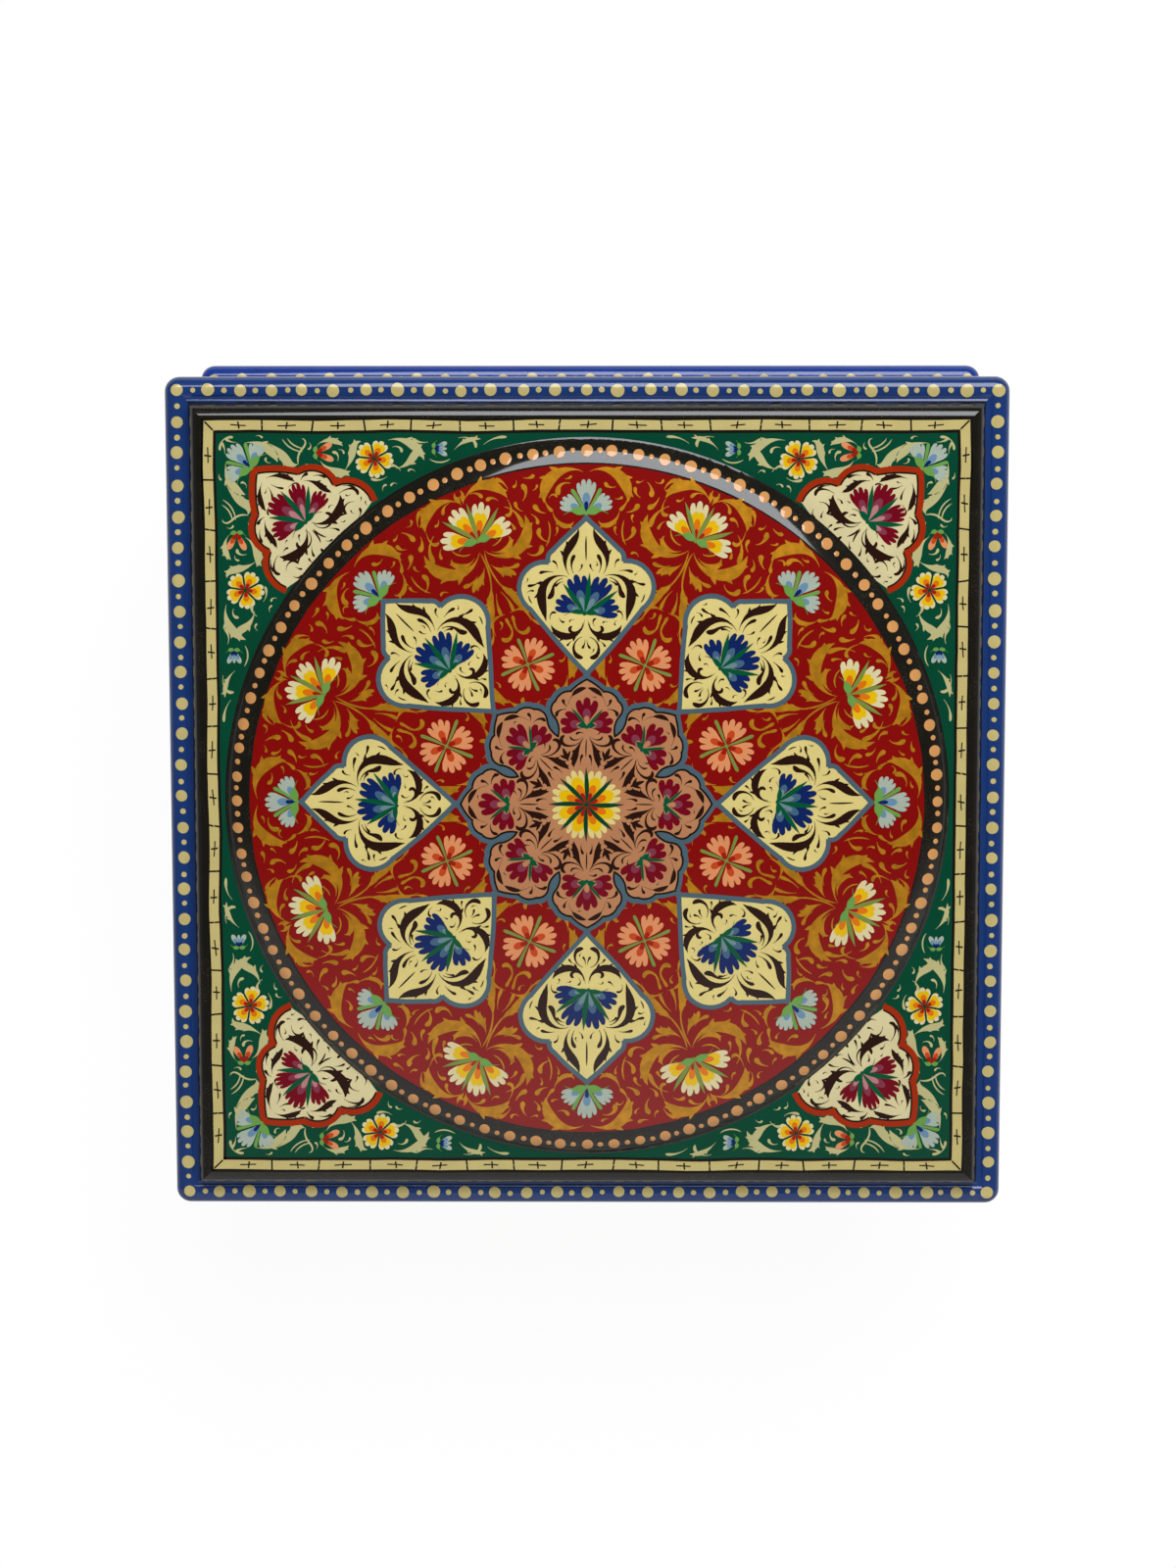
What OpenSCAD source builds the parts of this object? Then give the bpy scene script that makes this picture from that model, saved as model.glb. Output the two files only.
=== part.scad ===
// Square lacquered papier mache box with a lift-off lid.
// The underside of the base lies on z = 0, and its centre is the origin.
// Every board and moulding is one of four that meet at mitred corners.

/* [Outline] */
// Width and depth of the box over its two flanges
side = 203; // [180:1:240]
// Height of the body, from the underside to the seat of the lid
body_h = 82; // [50:1:120]
// Plan radius of the corners of both flanges
corner_r = 3.5; // [1:0.1:6]

/* [Moulding] */
// Thickness of the flange of the lid and of the plinth
flange_t = 7.4; // [6:0.1:10]
// Radius of the flange's rounded edge, above and below
edge_r = 2.8; // [1.5:0.1:3]
// Depth of the quirk between the flange and the cove
quirk_h = 0.3; // [0.1:0.1:0.8]
// Radius of the cove at the foot of the step
cove_r = 1.4; // [1:0.1:2]
// Distance from the flange's edge in to the upright face of the step
step_in = 6.4; // [5.6:0.1:8]
// Height of the step above the flange
step_h = 5.3; // [4.6:0.1:8]
// Radius of the step's rounded top edge
step_r = 2.9; // [2:0.1:3.5]

/* [Body boards] */
// Thickness of the floor board
floor_t = 4; // [3:0.1:6]
// Thickness of the four walls
wall_t = 4.5; // [3:0.1:6]
// Plan radius of the walls' upright corners above the plinth
wall_r = 2; // [0.5:0.1:3]
// Thickness of the four liner boards
liner_t = 2; // [1.5:0.1:3]
// Height that the liner boards stand above the lid's seat
collar_h = 6; // [3:0.1:6.8]

/* [Lid boards] */
// Thickness of the lid's panel
panel_t = 3.5; // [2.5:0.1:4.5]
// Flat rim of the moulding between its rounded step and the panel
panel_rim = 0.6; // [0.3:0.1:1.5]
// Clearance between the lid's moulding and the liner boards
lid_clear = 0.4; // [0.2:0.05:0.8]

/* [Medallion] */
// Distance from the flange's edge in to the edge of the dome
dome_in = 19.9; // [18.5:0.1:40]
// Height of the dome's edge above the panel
rim_h = 3.5; // [2.5:0.1:6]
// Height of the dome's centre above its edge
dome_rise = 3.9; // [2:0.1:8]
// Radius of the rounded rim that carries the ring of dots
rim_r = 8.3; // [6:0.1:9.5]
// Radius of the hollow at the medallion's foot
foot_r = 1.2; // [0.6:0.1:1.6]

/* [Linings] */
// Thickness of the velvet-faced card in the floor and the lid
lining_t = 1.2; // [0.8:0.1:1.6]
// Gap between a lining and the boards round it
lining_gap = 0.3; // [0.1:0.05:1]

/* [Hidden] */

// Turns that carry a front piece to each side of the box
FRONT_ANGLE = 0;
RIGHT_ANGLE = 90;
BACK_ANGLE = 180;
LEFT_ANGLE = 270;

BLUE = "#2c4a86";
BLACK = "#1e1b16";
GREEN = "#0c4f38";
RED = "#8f1410";
VELVET = "#5c1420";

$fn = 64;
// The dome is a small part of a very large circle
DOME_FN = 1440;

half = side / 2;
// The walls stand flush with the top of the moulding's rounded step
wall_in = step_in + step_r;
liner_in = wall_in + wall_t;
room_in = liner_in + liner_t;
moulding_h = flange_t + step_h;
panel_in = wall_in + panel_rim;
panel_z = body_h + moulding_h;
lid_rail_w = liner_in - lid_clear;
collar_z = body_h + collar_h;

cove_x = step_in - cove_r;
cove_z = flange_t - quirk_h + cove_r;

// The rounded rim leaves the dome at a faint crease, and the hollow foot bites a hair into rim and panel
CREASE = 4;
FOOT_BITE = 0.02;
dome_edge = half - dome_in;
dome_r = (dome_edge * dome_edge + dome_rise * dome_rise) / (2 * dome_rise);
dome_z = rim_h + dome_rise - dome_r;
rim_slope = asin(dome_edge / dome_r) + CREASE;
rim_x = dome_edge - rim_r * sin(rim_slope);
rim_z = rim_h - rim_r * cos(rim_slope);
foot_x = rim_x + sqrt(pow(rim_r + foot_r, 2) - pow(foot_r - rim_z, 2));
touch_z = rim_z + (foot_r - rim_z) * rim_r / (rim_r + foot_r);

// Turns a piece of the front side to another side
module on_side(angle) {
    rotate([0, 0, angle]) children();
}

// Carries a section, drawn as distance in and height, along the front side of a square outline that lies
// `inset` inside the box's own, to a mitre at each end. The outline's corners have the plan radius `r`.
module mitred_run(inset, r) {
    edge = half - inset;
    axis = edge - r;
    intersection() {
        translate([-axis, -edge, 0]) rotate([90, 0, 90]) linear_extrude(2 * axis) children();
        linear_extrude(panel_z) polygon([[0, 0], [-half, -half], [half, -half]]);
    }
    if (r > 0) {
        for (far = [0, 1]) {
            mirror([far, 0, 0]) translate([axis, -axis, 0]) rotate([0, 0, -90])
                rotate_extrude(angle = 45) corner_section(r) children();
        }
    }
}

// The outer part of a section, turned to face away from the axis of a corner of radius r
module corner_section(r) {
    intersection() {
        translate([r, 0]) mirror([1, 0]) children();
        square([r, panel_z]);
    }
}

// Section of the moulding: a rounded flange, a quirk and cove, and a step with a rounded top
module moulding_section(width) {
    difference() {
        union() {
            translate([edge_r, 0]) square([width - edge_r, flange_t]);
            translate([0, edge_r]) square([edge_r, flange_t - 2 * edge_r]);
            translate([edge_r, edge_r]) circle(edge_r);
            translate([edge_r, flange_t - edge_r]) circle(edge_r);
            translate([cove_x, 0]) square([cove_r, cove_z]);
            translate([step_in, 0]) square([width - step_in, moulding_h - step_r]);
            step_top_section();
            if (width > wall_in) {
                translate([wall_in, 0]) square([width - wall_in, moulding_h]);
            }
        }
        translate([cove_x, cove_z]) circle(cove_r);
    }
}

// The rounded top of the step, which ends flush with the walls
module step_top_section() {
    intersection() {
        translate([wall_in, moulding_h - step_r]) circle(step_r);
        translate([step_in, 0]) square([step_r, moulding_h]);
    }
}

// The lid's moulding has a rebate that holds the edge of the panel
module lid_rail_section() {
    difference() {
        moulding_section(lid_rail_w);
        translate([panel_in, moulding_h - panel_t]) square([lid_rail_w, panel_t]);
    }
}

module upright_section(thick, low, high) {
    translate([0, low]) square([thick, high - low]);
}

// A liner board's top edge is rounded, so that the lid finds its way on
module liner_section() {
    upright_section(liner_t, floor_t, collar_z - liner_t / 2);
    translate([liner_t / 2, collar_z - liner_t / 2]) circle(liner_t / 2);
}

module wall() {
    mitred_run(wall_in, 0) upright_section(wall_t, floor_t, moulding_h);
    mitred_run(wall_in, wall_r) upright_section(wall_t, moulding_h, body_h);
}

module liner() {
    mitred_run(liner_in, 0) liner_section();
}

module plinth() {
    mitred_run(0, corner_r) moulding_section(wall_in);
}

module lid_rail() {
    translate([0, 0, body_h]) mitred_run(0, corner_r) lid_rail_section();
}

// A square board whose edges lie `inset` inside the box's outline
module board(inset, thick) {
    width = side - 2 * inset;
    translate([-width / 2, -width / 2, 0]) cube([width, width, thick]);
}

module floor_board() {
    color(BLACK) board(wall_in, floor_t);
}

module floor_lining() {
    color(VELVET) translate([0, 0, floor_t]) board(room_in + lining_gap, lining_t);
}

module wall_front() {
    color(BLACK) on_side(FRONT_ANGLE) wall();
}

module wall_right() {
    color(BLACK) on_side(RIGHT_ANGLE) wall();
}

module wall_back() {
    color(BLACK) on_side(BACK_ANGLE) wall();
}

module wall_left() {
    color(BLACK) on_side(LEFT_ANGLE) wall();
}

module liner_front() {
    color(RED) on_side(FRONT_ANGLE) liner();
}

module liner_right() {
    color(RED) on_side(RIGHT_ANGLE) liner();
}

module liner_back() {
    color(RED) on_side(BACK_ANGLE) liner();
}

module liner_left() {
    color(RED) on_side(LEFT_ANGLE) liner();
}

module plinth_front() {
    color(BLUE) on_side(FRONT_ANGLE) plinth();
}

module plinth_right() {
    color(BLUE) on_side(RIGHT_ANGLE) plinth();
}

module plinth_back() {
    color(BLUE) on_side(BACK_ANGLE) plinth();
}

module plinth_left() {
    color(BLUE) on_side(LEFT_ANGLE) plinth();
}

module lid_rail_front() {
    color(BLUE) on_side(FRONT_ANGLE) lid_rail();
}

module lid_rail_right() {
    color(BLUE) on_side(RIGHT_ANGLE) lid_rail();
}

module lid_rail_back() {
    color(BLUE) on_side(BACK_ANGLE) lid_rail();
}

module lid_rail_left() {
    color(BLUE) on_side(LEFT_ANGLE) lid_rail();
}

module lid_panel() {
    color(GREEN) translate([0, 0, panel_z - panel_t]) board(panel_in, panel_t);
}

// Half section of the medallion: a dome that passes into a rounded rim and a hollow foot
module medallion_section() {
    difference() {
        union() {
            intersection() {
                translate([0, dome_z]) circle(dome_r, $fn = DOME_FN);
                union() {
                    square([dome_edge - rim_r * sin(CREASE), rim_h + 2 * dome_rise]);
                    translate([rim_x, rim_z]) circle(rim_r);
                }
                square([dome_edge + rim_r, rim_h + 2 * dome_rise]);
            }
            square([foot_x, touch_z]);
        }
        translate([foot_x, foot_r]) circle(foot_r + FOOT_BITE);
    }
}

module lid_medallion() {
    color(RED) translate([0, 0, panel_z]) rotate_extrude($fn = 256) medallion_section();
}

module lid_lining() {
    color(VELVET) translate([0, 0, panel_z - panel_t - lining_t]) board(lid_rail_w + lining_gap, lining_t);
}

floor_board();
floor_lining();
wall_front();
wall_right();
wall_back();
wall_left();
liner_front();
liner_right();
liner_back();
liner_left();
plinth_front();
plinth_right();
plinth_back();
plinth_left();
lid_rail_front();
lid_rail_right();
lid_rail_back();
lid_rail_left();
lid_panel();
lid_medallion();
lid_lining();
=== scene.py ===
"""Looks of a square lacquered papier mache box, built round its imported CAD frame.

The CAD boards and mouldings keep their shapes and get lacquer finishes. The ornament is laid out flat, in
millimetres, then draped over its ground as thin raised paint: one piece for each paint of each area.
In a motif's own plane u runs to the right and v outwards, and angles run clockwise from v.
"""

import logging
import math
import random
from dataclasses import dataclass
from enum import Enum, IntEnum
from typing import Any, Callable, Iterable, Sequence

import bmesh
import bpy
from mathutils import Matrix, Vector, noise
from mathutils.kdtree import KDTree

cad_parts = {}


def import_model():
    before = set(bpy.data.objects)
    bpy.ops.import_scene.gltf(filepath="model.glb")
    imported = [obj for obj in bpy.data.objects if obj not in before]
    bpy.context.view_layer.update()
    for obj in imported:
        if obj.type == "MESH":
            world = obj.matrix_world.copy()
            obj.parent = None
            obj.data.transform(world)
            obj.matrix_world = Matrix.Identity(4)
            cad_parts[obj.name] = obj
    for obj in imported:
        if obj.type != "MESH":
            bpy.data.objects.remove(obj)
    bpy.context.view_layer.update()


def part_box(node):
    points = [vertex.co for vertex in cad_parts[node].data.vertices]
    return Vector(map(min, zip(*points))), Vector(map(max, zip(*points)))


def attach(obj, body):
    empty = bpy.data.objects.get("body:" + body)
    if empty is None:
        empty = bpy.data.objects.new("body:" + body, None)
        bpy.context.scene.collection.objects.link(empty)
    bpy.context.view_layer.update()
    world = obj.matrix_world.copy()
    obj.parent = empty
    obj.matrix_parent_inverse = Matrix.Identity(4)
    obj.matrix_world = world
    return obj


log = logging.getLogger("box")

Point = tuple[float, float]
Bulged = tuple[float, float, float]
Rgb = tuple[int, int, int]

MM = 0.001
SIDES = ("front", "right", "back", "left")
# Height of both mouldings' step above their flange in the part's source, in millimetres
MOULDING_STEP = 5.3


# ---------------------------------------------------------------------------------------------- shader


class Value:
    """A number that varies over a surface: a shader socket that Python expressions can use."""

    def __init__(self, graph: "Graph", socket: bpy.types.NodeSocket) -> None:
        """Wraps an output socket.

        Args:
            graph: the graph that the socket belongs to.
            socket: an output of one of its nodes.
        """
        self.graph = graph
        self.socket = socket

    def __add__(self, other: "Value | float") -> "Value":
        """Sum of two numbers."""
        return self.graph.math("ADD", self, other)

    def __sub__(self, other: "Value | float") -> "Value":
        """Difference of two numbers."""
        return self.graph.math("SUBTRACT", self, other)

    def __rsub__(self, other: float) -> "Value":
        """Difference from a plain number."""
        return self.graph.math("SUBTRACT", other, self)

    def __mul__(self, other: "Value | float") -> "Value":
        """Product of two numbers."""
        return self.graph.math("MULTIPLY", self, other)

    __radd__ = __add__
    __rmul__ = __mul__


class Graph:
    """A node tree, with one way to add a node."""

    def __init__(self, tree: bpy.types.NodeTree) -> None:
        """Starts from an emptied tree."""
        self.tree = tree
        tree.nodes.clear()

    def node(self, kind: str, settings: dict[str, Any], sockets: dict[str | int, Any]) -> bpy.types.Node:
        """Adds a node.

        Args:
            kind: the node's type, without its ShaderNode prefix.
            settings: the node's own properties, set before its sockets.
            sockets: a value, Value or output socket for each input.

        Returns:
            The new node.
        """
        node = self.tree.nodes.new("ShaderNode" + kind)
        for name, value in settings.items():
            setattr(node, name, value)
        for key, value in sockets.items():
            value = value.socket if isinstance(value, Value) else value
            if isinstance(value, bpy.types.NodeSocket):
                self.tree.links.new(value, node.inputs[key])
            else:
                node.inputs[key].default_value = value
        return node

    def math(self, operation: str, *terms: Value | float) -> Value:
        """Number made by a Math node from one to three terms."""
        node = self.node("Math", {"operation": operation}, dict(enumerate(terms)))
        return Value(self, node.outputs[0])

    def smooth(self, value: Value, low: float, high: float) -> Value:
        """Number that rises smoothly from 0 at low to 1 at high, or the other way round."""
        node = self.node(
            "MapRange", {"interpolation_type": "SMOOTHSTEP"}, {"Value": value, "From Min": low, "From Max": high}
        )
        return Value(self, node.outputs["Result"])

    def place(self) -> tuple[Value, Value, Value]:
        """The x, y and z of the shaded point, in metres."""
        spot = self.node("TexCoord", {}, {}).outputs["Object"]
        split = self.node("SeparateXYZ", {}, {"Vector": spot})
        return tuple(Value(self, split.outputs[axis]) for axis in "XYZ")

    def cloud(self, size: float, detail: float = 2.0) -> Value:
        """Noise between 0 and 1 with patches of about this size in metres."""
        spot = self.node("TexCoord", {}, {}).outputs["Object"]
        node = self.node("TexNoise", {}, {"Vector": spot, "Scale": 1 / size, "Detail": detail})
        return Value(self, node.outputs["Fac"])

    def mix(self, share: Value | float, low: Any, high: Any) -> bpy.types.NodeSocket:
        """Colour that goes from low to high as share goes from 0 to 1."""
        return self.node("Mix", {"data_type": "RGBA"}, {0: share, 6: low, 7: high}).outputs[2]


def linear(colour: Rgb, gain: float = 1.0) -> tuple[float, float, float, float]:
    """Turns a colour as a screen shows it into the shader's linear one.

    Args:
        colour: red, green and blue from 0 to 255.
        gain: what the linear colour is multiplied by.

    Returns:
        Linear red, green, blue and alpha.
    """
    shares = (part / 255 for part in colour)
    # The curve that screens use
    return (*(min(1.0, gain * (s / 12.92 if s < 0.04045 else ((s + 0.055) / 1.055) ** 2.4)) for s in shares), 1.0)


# -------------------------------------------------------------------------------------------- finishes


# How much the lacquer's roughness varies, and the size in metres of the patches it does so in
HANDLING = 0.08
HANDLED_PATCH = 0.02
# Sizes in metres of the marks of the brush, the grain of the paint, and the dust, whose specks lie in wider patches
BRUSH_MARK = 0.004
PAINT_GRAIN = 0.0006
DUST_SPECK = 0.00028
DUST_PATCH = 0.012
# Length in metres of the wavers of a painted line, and half the width over which one paint gives way to another
HAND_WAVER = 0.009
PAINT_EDGE = 0.00006
# Sizes in metres of the velvet's tufts and of the stretches that a hand has stroked
PILE = 0.0004
STROKED_PATCH = 0.035
DUST_COLOUR = (104, 94, 78)
RED_GROUND = (142, 10, 7)


@dataclass(frozen=True)
class Lacquer:
    """Brushed paint under clear lacquer. Lengths are in metres.

    Attributes:
        name: the material's name.
        colour: the paint as a screen shows it.
        roughness: of the paint.
        metallic: 0 for plain paint, more for gold.
        coat: strength of the clear lacquer.
        gloss: roughness of the clear lacquer.
        drift: how far the paint strays from its colour to either side.
        patch: size of the patches in which it strays.
        ripple: height of the brush marks.
    """

    name: str
    colour: Rgb
    roughness: float = 0.3
    metallic: float = 0.0
    coat: float = 1.0
    gloss: float = 0.06
    drift: float = 0.12
    patch: float = 0.006
    ripple: float = 0.00001

    def tone(self, graph: Graph) -> Any:
        """Colour of the paint, which is a little thinner in some brush strokes than in others."""
        low, high = linear(self.colour, 1 - self.drift), linear(self.colour, 1 + self.drift)
        return graph.mix(graph.cloud(self.patch, 4.0), low, high)

    def sheen(self, graph: Graph) -> Any:
        """Roughness of the lacquer, which varies a little with handling."""
        return graph.cloud(HANDLED_PATCH) * HANDLING + (self.roughness - HANDLING / 2)

    def material(self) -> bpy.types.Material:
        """Makes the material, or finds it where it was made before.

        Returns:
            A material whose colour, roughness and bump follow Object coordinates.
        """
        found = bpy.data.materials.get(self.name)
        if found:
            return found
        made = bpy.data.materials.new(self.name)
        made.use_nodes = True
        graph = Graph(made.node_tree)
        relief = graph.cloud(BRUSH_MARK) * 0.7 + graph.cloud(PAINT_GRAIN, 1.0) * 0.3
        bump = graph.node("Bump", {}, {"Strength": 1.0, "Distance": self.ripple, "Height": relief})
        sockets = {"Base Color": self.tone(graph), "Roughness": self.sheen(graph), "Normal": bump.outputs[0]}
        sockets |= {"Metallic": self.metallic, "Specular IOR Level": 0.05}
        sockets |= {"Coat Weight": self.coat, "Coat Roughness": self.gloss}
        shader = graph.node("BsdfPrincipled", {}, sockets)
        graph.node("OutputMaterial", {}, {"Surface": shader.outputs[0]})
        return made


@dataclass(frozen=True)
class TwoTone(Lacquer):
    """Two paints that meet along a hand-painted line, with dust and scuffs in the dark one.

    Attributes:
        second: the dark paint.
        waver: how far the line strays to either side.
        dust: how strongly the dust shows.
    """

    second: Rgb = (27, 24, 18)
    waver: float = 0.0003
    dust: float = 0.5

    def beyond(self, graph: Graph) -> Value:
        """How far a point is past the line, in metres. Each ground says where its line lies."""
        raise NotImplementedError

    def tone(self, graph: Graph) -> Any:
        """Colour of the first paint, the second one beyond the line, and dust on that."""
        low, high = linear(self.second, 0.8), linear(self.second, 1.35)
        dark = graph.mix(graph.cloud(0.003, 5.0), low, high)
        specks = graph.smooth(graph.cloud(DUST_SPECK), 0.58, 0.7) * graph.smooth(graph.cloud(DUST_PATCH), 0.42, 0.6)
        dusty = graph.mix(specks * self.dust, dark, linear(DUST_COLOUR))
        hand = graph.cloud(HAND_WAVER) * (2 * self.waver) - self.waver
        share = graph.smooth(self.beyond(graph) + hand, -PAINT_EDGE, PAINT_EDGE)
        return graph.mix(share, super().tone(graph), dusty)


@dataclass(frozen=True)
class MouldingPaint(TwoTone):
    """Blue flange and black step, on either side of a square line in the cove.

    Attributes:
        half: half width of the box over its flange.
        inset: distance from the flange's edge in to the line.
    """

    half: float = 0.1
    inset: float = 0.0059

    def beyond(self, graph: Graph) -> Value:
        """How far a point is inside the square line."""
        x, y, _ = graph.place()
        far = graph.math("MAXIMUM", graph.math("ABSOLUTE", x), graph.math("ABSOLUTE", y))
        return (self.half - self.inset) - far


@dataclass(frozen=True)
class RoundPaint(TwoTone):
    """Red dome and black rim, on either side of a circle."""

    radius: float = 0.08

    def beyond(self, graph: Graph) -> Value:
        """How far a point is outside the circle."""
        x, y, _ = graph.place()
        return graph.math("POWER", x * x + y * y, 0.5) - self.radius


@dataclass(frozen=True)
class WallPaint(TwoTone):
    """Red field in a black margin on the outer face of a wall.

    Attributes:
        half: half width of the field.
        low: height of its lower edge.
        high: height of its upper edge.
    """

    half: float = 0.09
    low: float = 0.0127
    high: float = 0.082

    def beyond(self, graph: Graph) -> Value:
        """How far a point is outside the field's rectangle."""
        x, y, z = graph.place()
        along = graph.math("MINIMUM", graph.math("ABSOLUTE", x), graph.math("ABSOLUTE", y))
        upright = graph.math("ABSOLUTE", z - (self.low + self.high) / 2) - (self.high - self.low) / 2
        return graph.math("MAXIMUM", along - self.half, upright)


@dataclass(frozen=True)
class Velvet(Lacquer):
    """Short-pile velvet, brushed lighter in places."""

    def material(self) -> bpy.types.Material:
        """Makes the velvet's material."""
        made = bpy.data.materials.new(self.name)
        made.use_nodes = True
        graph = Graph(made.node_tree)
        pile = graph.cloud(PILE, 1.0)
        stroked = graph.smooth(graph.cloud(STROKED_PATCH, 1.0), 0.35, 0.65)
        nap = graph.mix(stroked * 0.6 + pile * 0.4, linear(self.colour, 0.7), linear(self.colour, 1.5))
        bump = graph.node("Bump", {}, {"Strength": 1.0, "Distance": self.ripple, "Height": pile})
        sockets = {"Base Color": nap, "Roughness": 0.9, "Normal": bump.outputs[0]}
        sockets |= {"Sheen Weight": 0.6, "Sheen Roughness": 0.4, "Sheen Tint": linear((235, 170, 175))}
        shader = graph.node("BsdfPrincipled", {}, sockets)
        graph.node("OutputMaterial", {}, {"Surface": shader.outputs[0]})
        return made


class Paint(Enum):
    """The paints of the ornament."""

    CREAM = Lacquer("cream_paint", (212, 193, 124))
    BUTTER = Lacquer("butter_paint", (236, 215, 134))
    SCROLL_CREAM = Lacquer("scroll_cream_paint", (200, 192, 134))
    IVORY = Lacquer("ivory_paint", (232, 217, 164))
    DOT = Lacquer("dot_paint", (226, 160, 94))
    SALMON = Lacquer("salmon_paint", (196, 134, 92))
    SALMON_PETAL = Lacquer("salmon_petal_paint", (236, 152, 100))
    BLUSH = Lacquer("blush_paint", (196, 130, 130))
    PINK = Lacquer("pink_paint", (136, 58, 76))
    MAROON = Lacquer("maroon_paint", (122, 6, 28))
    RED = Lacquer("red_paint", (168, 30, 14))
    VERMILION = Lacquer("vermilion_paint", (206, 74, 30))
    RUST = Lacquer("rust_paint", (172, 46, 10))
    ORANGE = Lacquer("orange_paint", (234, 120, 16))
    YELLOW = Lacquer("yellow_paint", (242, 194, 10))
    GOLD = Lacquer("gold_paint", (214, 146, 32), roughness=0.32, metallic=0.5, coat=0.8, drift=0.5, patch=0.002)
    BAND = Lacquer("band_paint", (80, 103, 114))
    NAVY = Lacquer("navy_paint", (14, 38, 98))
    STEEL = Lacquer("steel_paint", (72, 104, 130))
    MIST = Lacquer("mist_paint", (112, 142, 146))
    ICE = Lacquer("ice_paint", (178, 190, 172))
    SKY = Lacquer("sky_paint", (112, 148, 176))
    PINE = Lacquer("pine_paint", (10, 66, 40))
    EMERALD = Lacquer("emerald_paint", (2, 88, 54))
    OLIVE = Lacquer("olive_paint", (128, 146, 64))
    LEAF = Lacquer("leaf_paint", (112, 164, 76))
    BROWN = Lacquer("brown_paint", (44, 20, 12))
    BLACK = Lacquer("black_paint", (26, 22, 16))


# ------------------------------------------------------------------------------------------ brush work


class Layer(IntEnum):
    """Coats of paint, from the ground up."""

    SCROLL = 0
    FILL = 1
    LINE = 2
    EDGE = 3
    RIM = 4
    PETAL = 5
    TOP = 9


# Heights above the ground in millimetres: of the lowest coat, of each coat over the one before, and of one shape
# over another of its coat. The last goes up in turns, so that no two faces that overlap lie in one plane.
LIFT = 0.02
COAT = 0.016
STAGGER = 0.0011
SHAPE_TURNS = 7
STAMP_TURNS = 3
# How far the underside of the paint lies below its ground, so that the ground's facets leave no gap
SINK = 0.09
# Least half width of a stroke, and least distances of a small curl from other marks and from other curls
HAIR = 0.03
MARK_GAP = 0.45
CURL_GAP = 0.95


class Mark(Enum):
    """Shapes of a brush stroke."""

    LINE = "a thin line that tapers at both ends"
    COMMA = "a line that swells into a rounded drop"
    BLADE = "a lens-shaped leaf"
    BLUNT = "a narrow leaf with a rounded end"
    HORN = "a plump leaf that ends in a thin tail"
    LEAF = "an acanthus leaf with fingers on its outer side"


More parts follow.
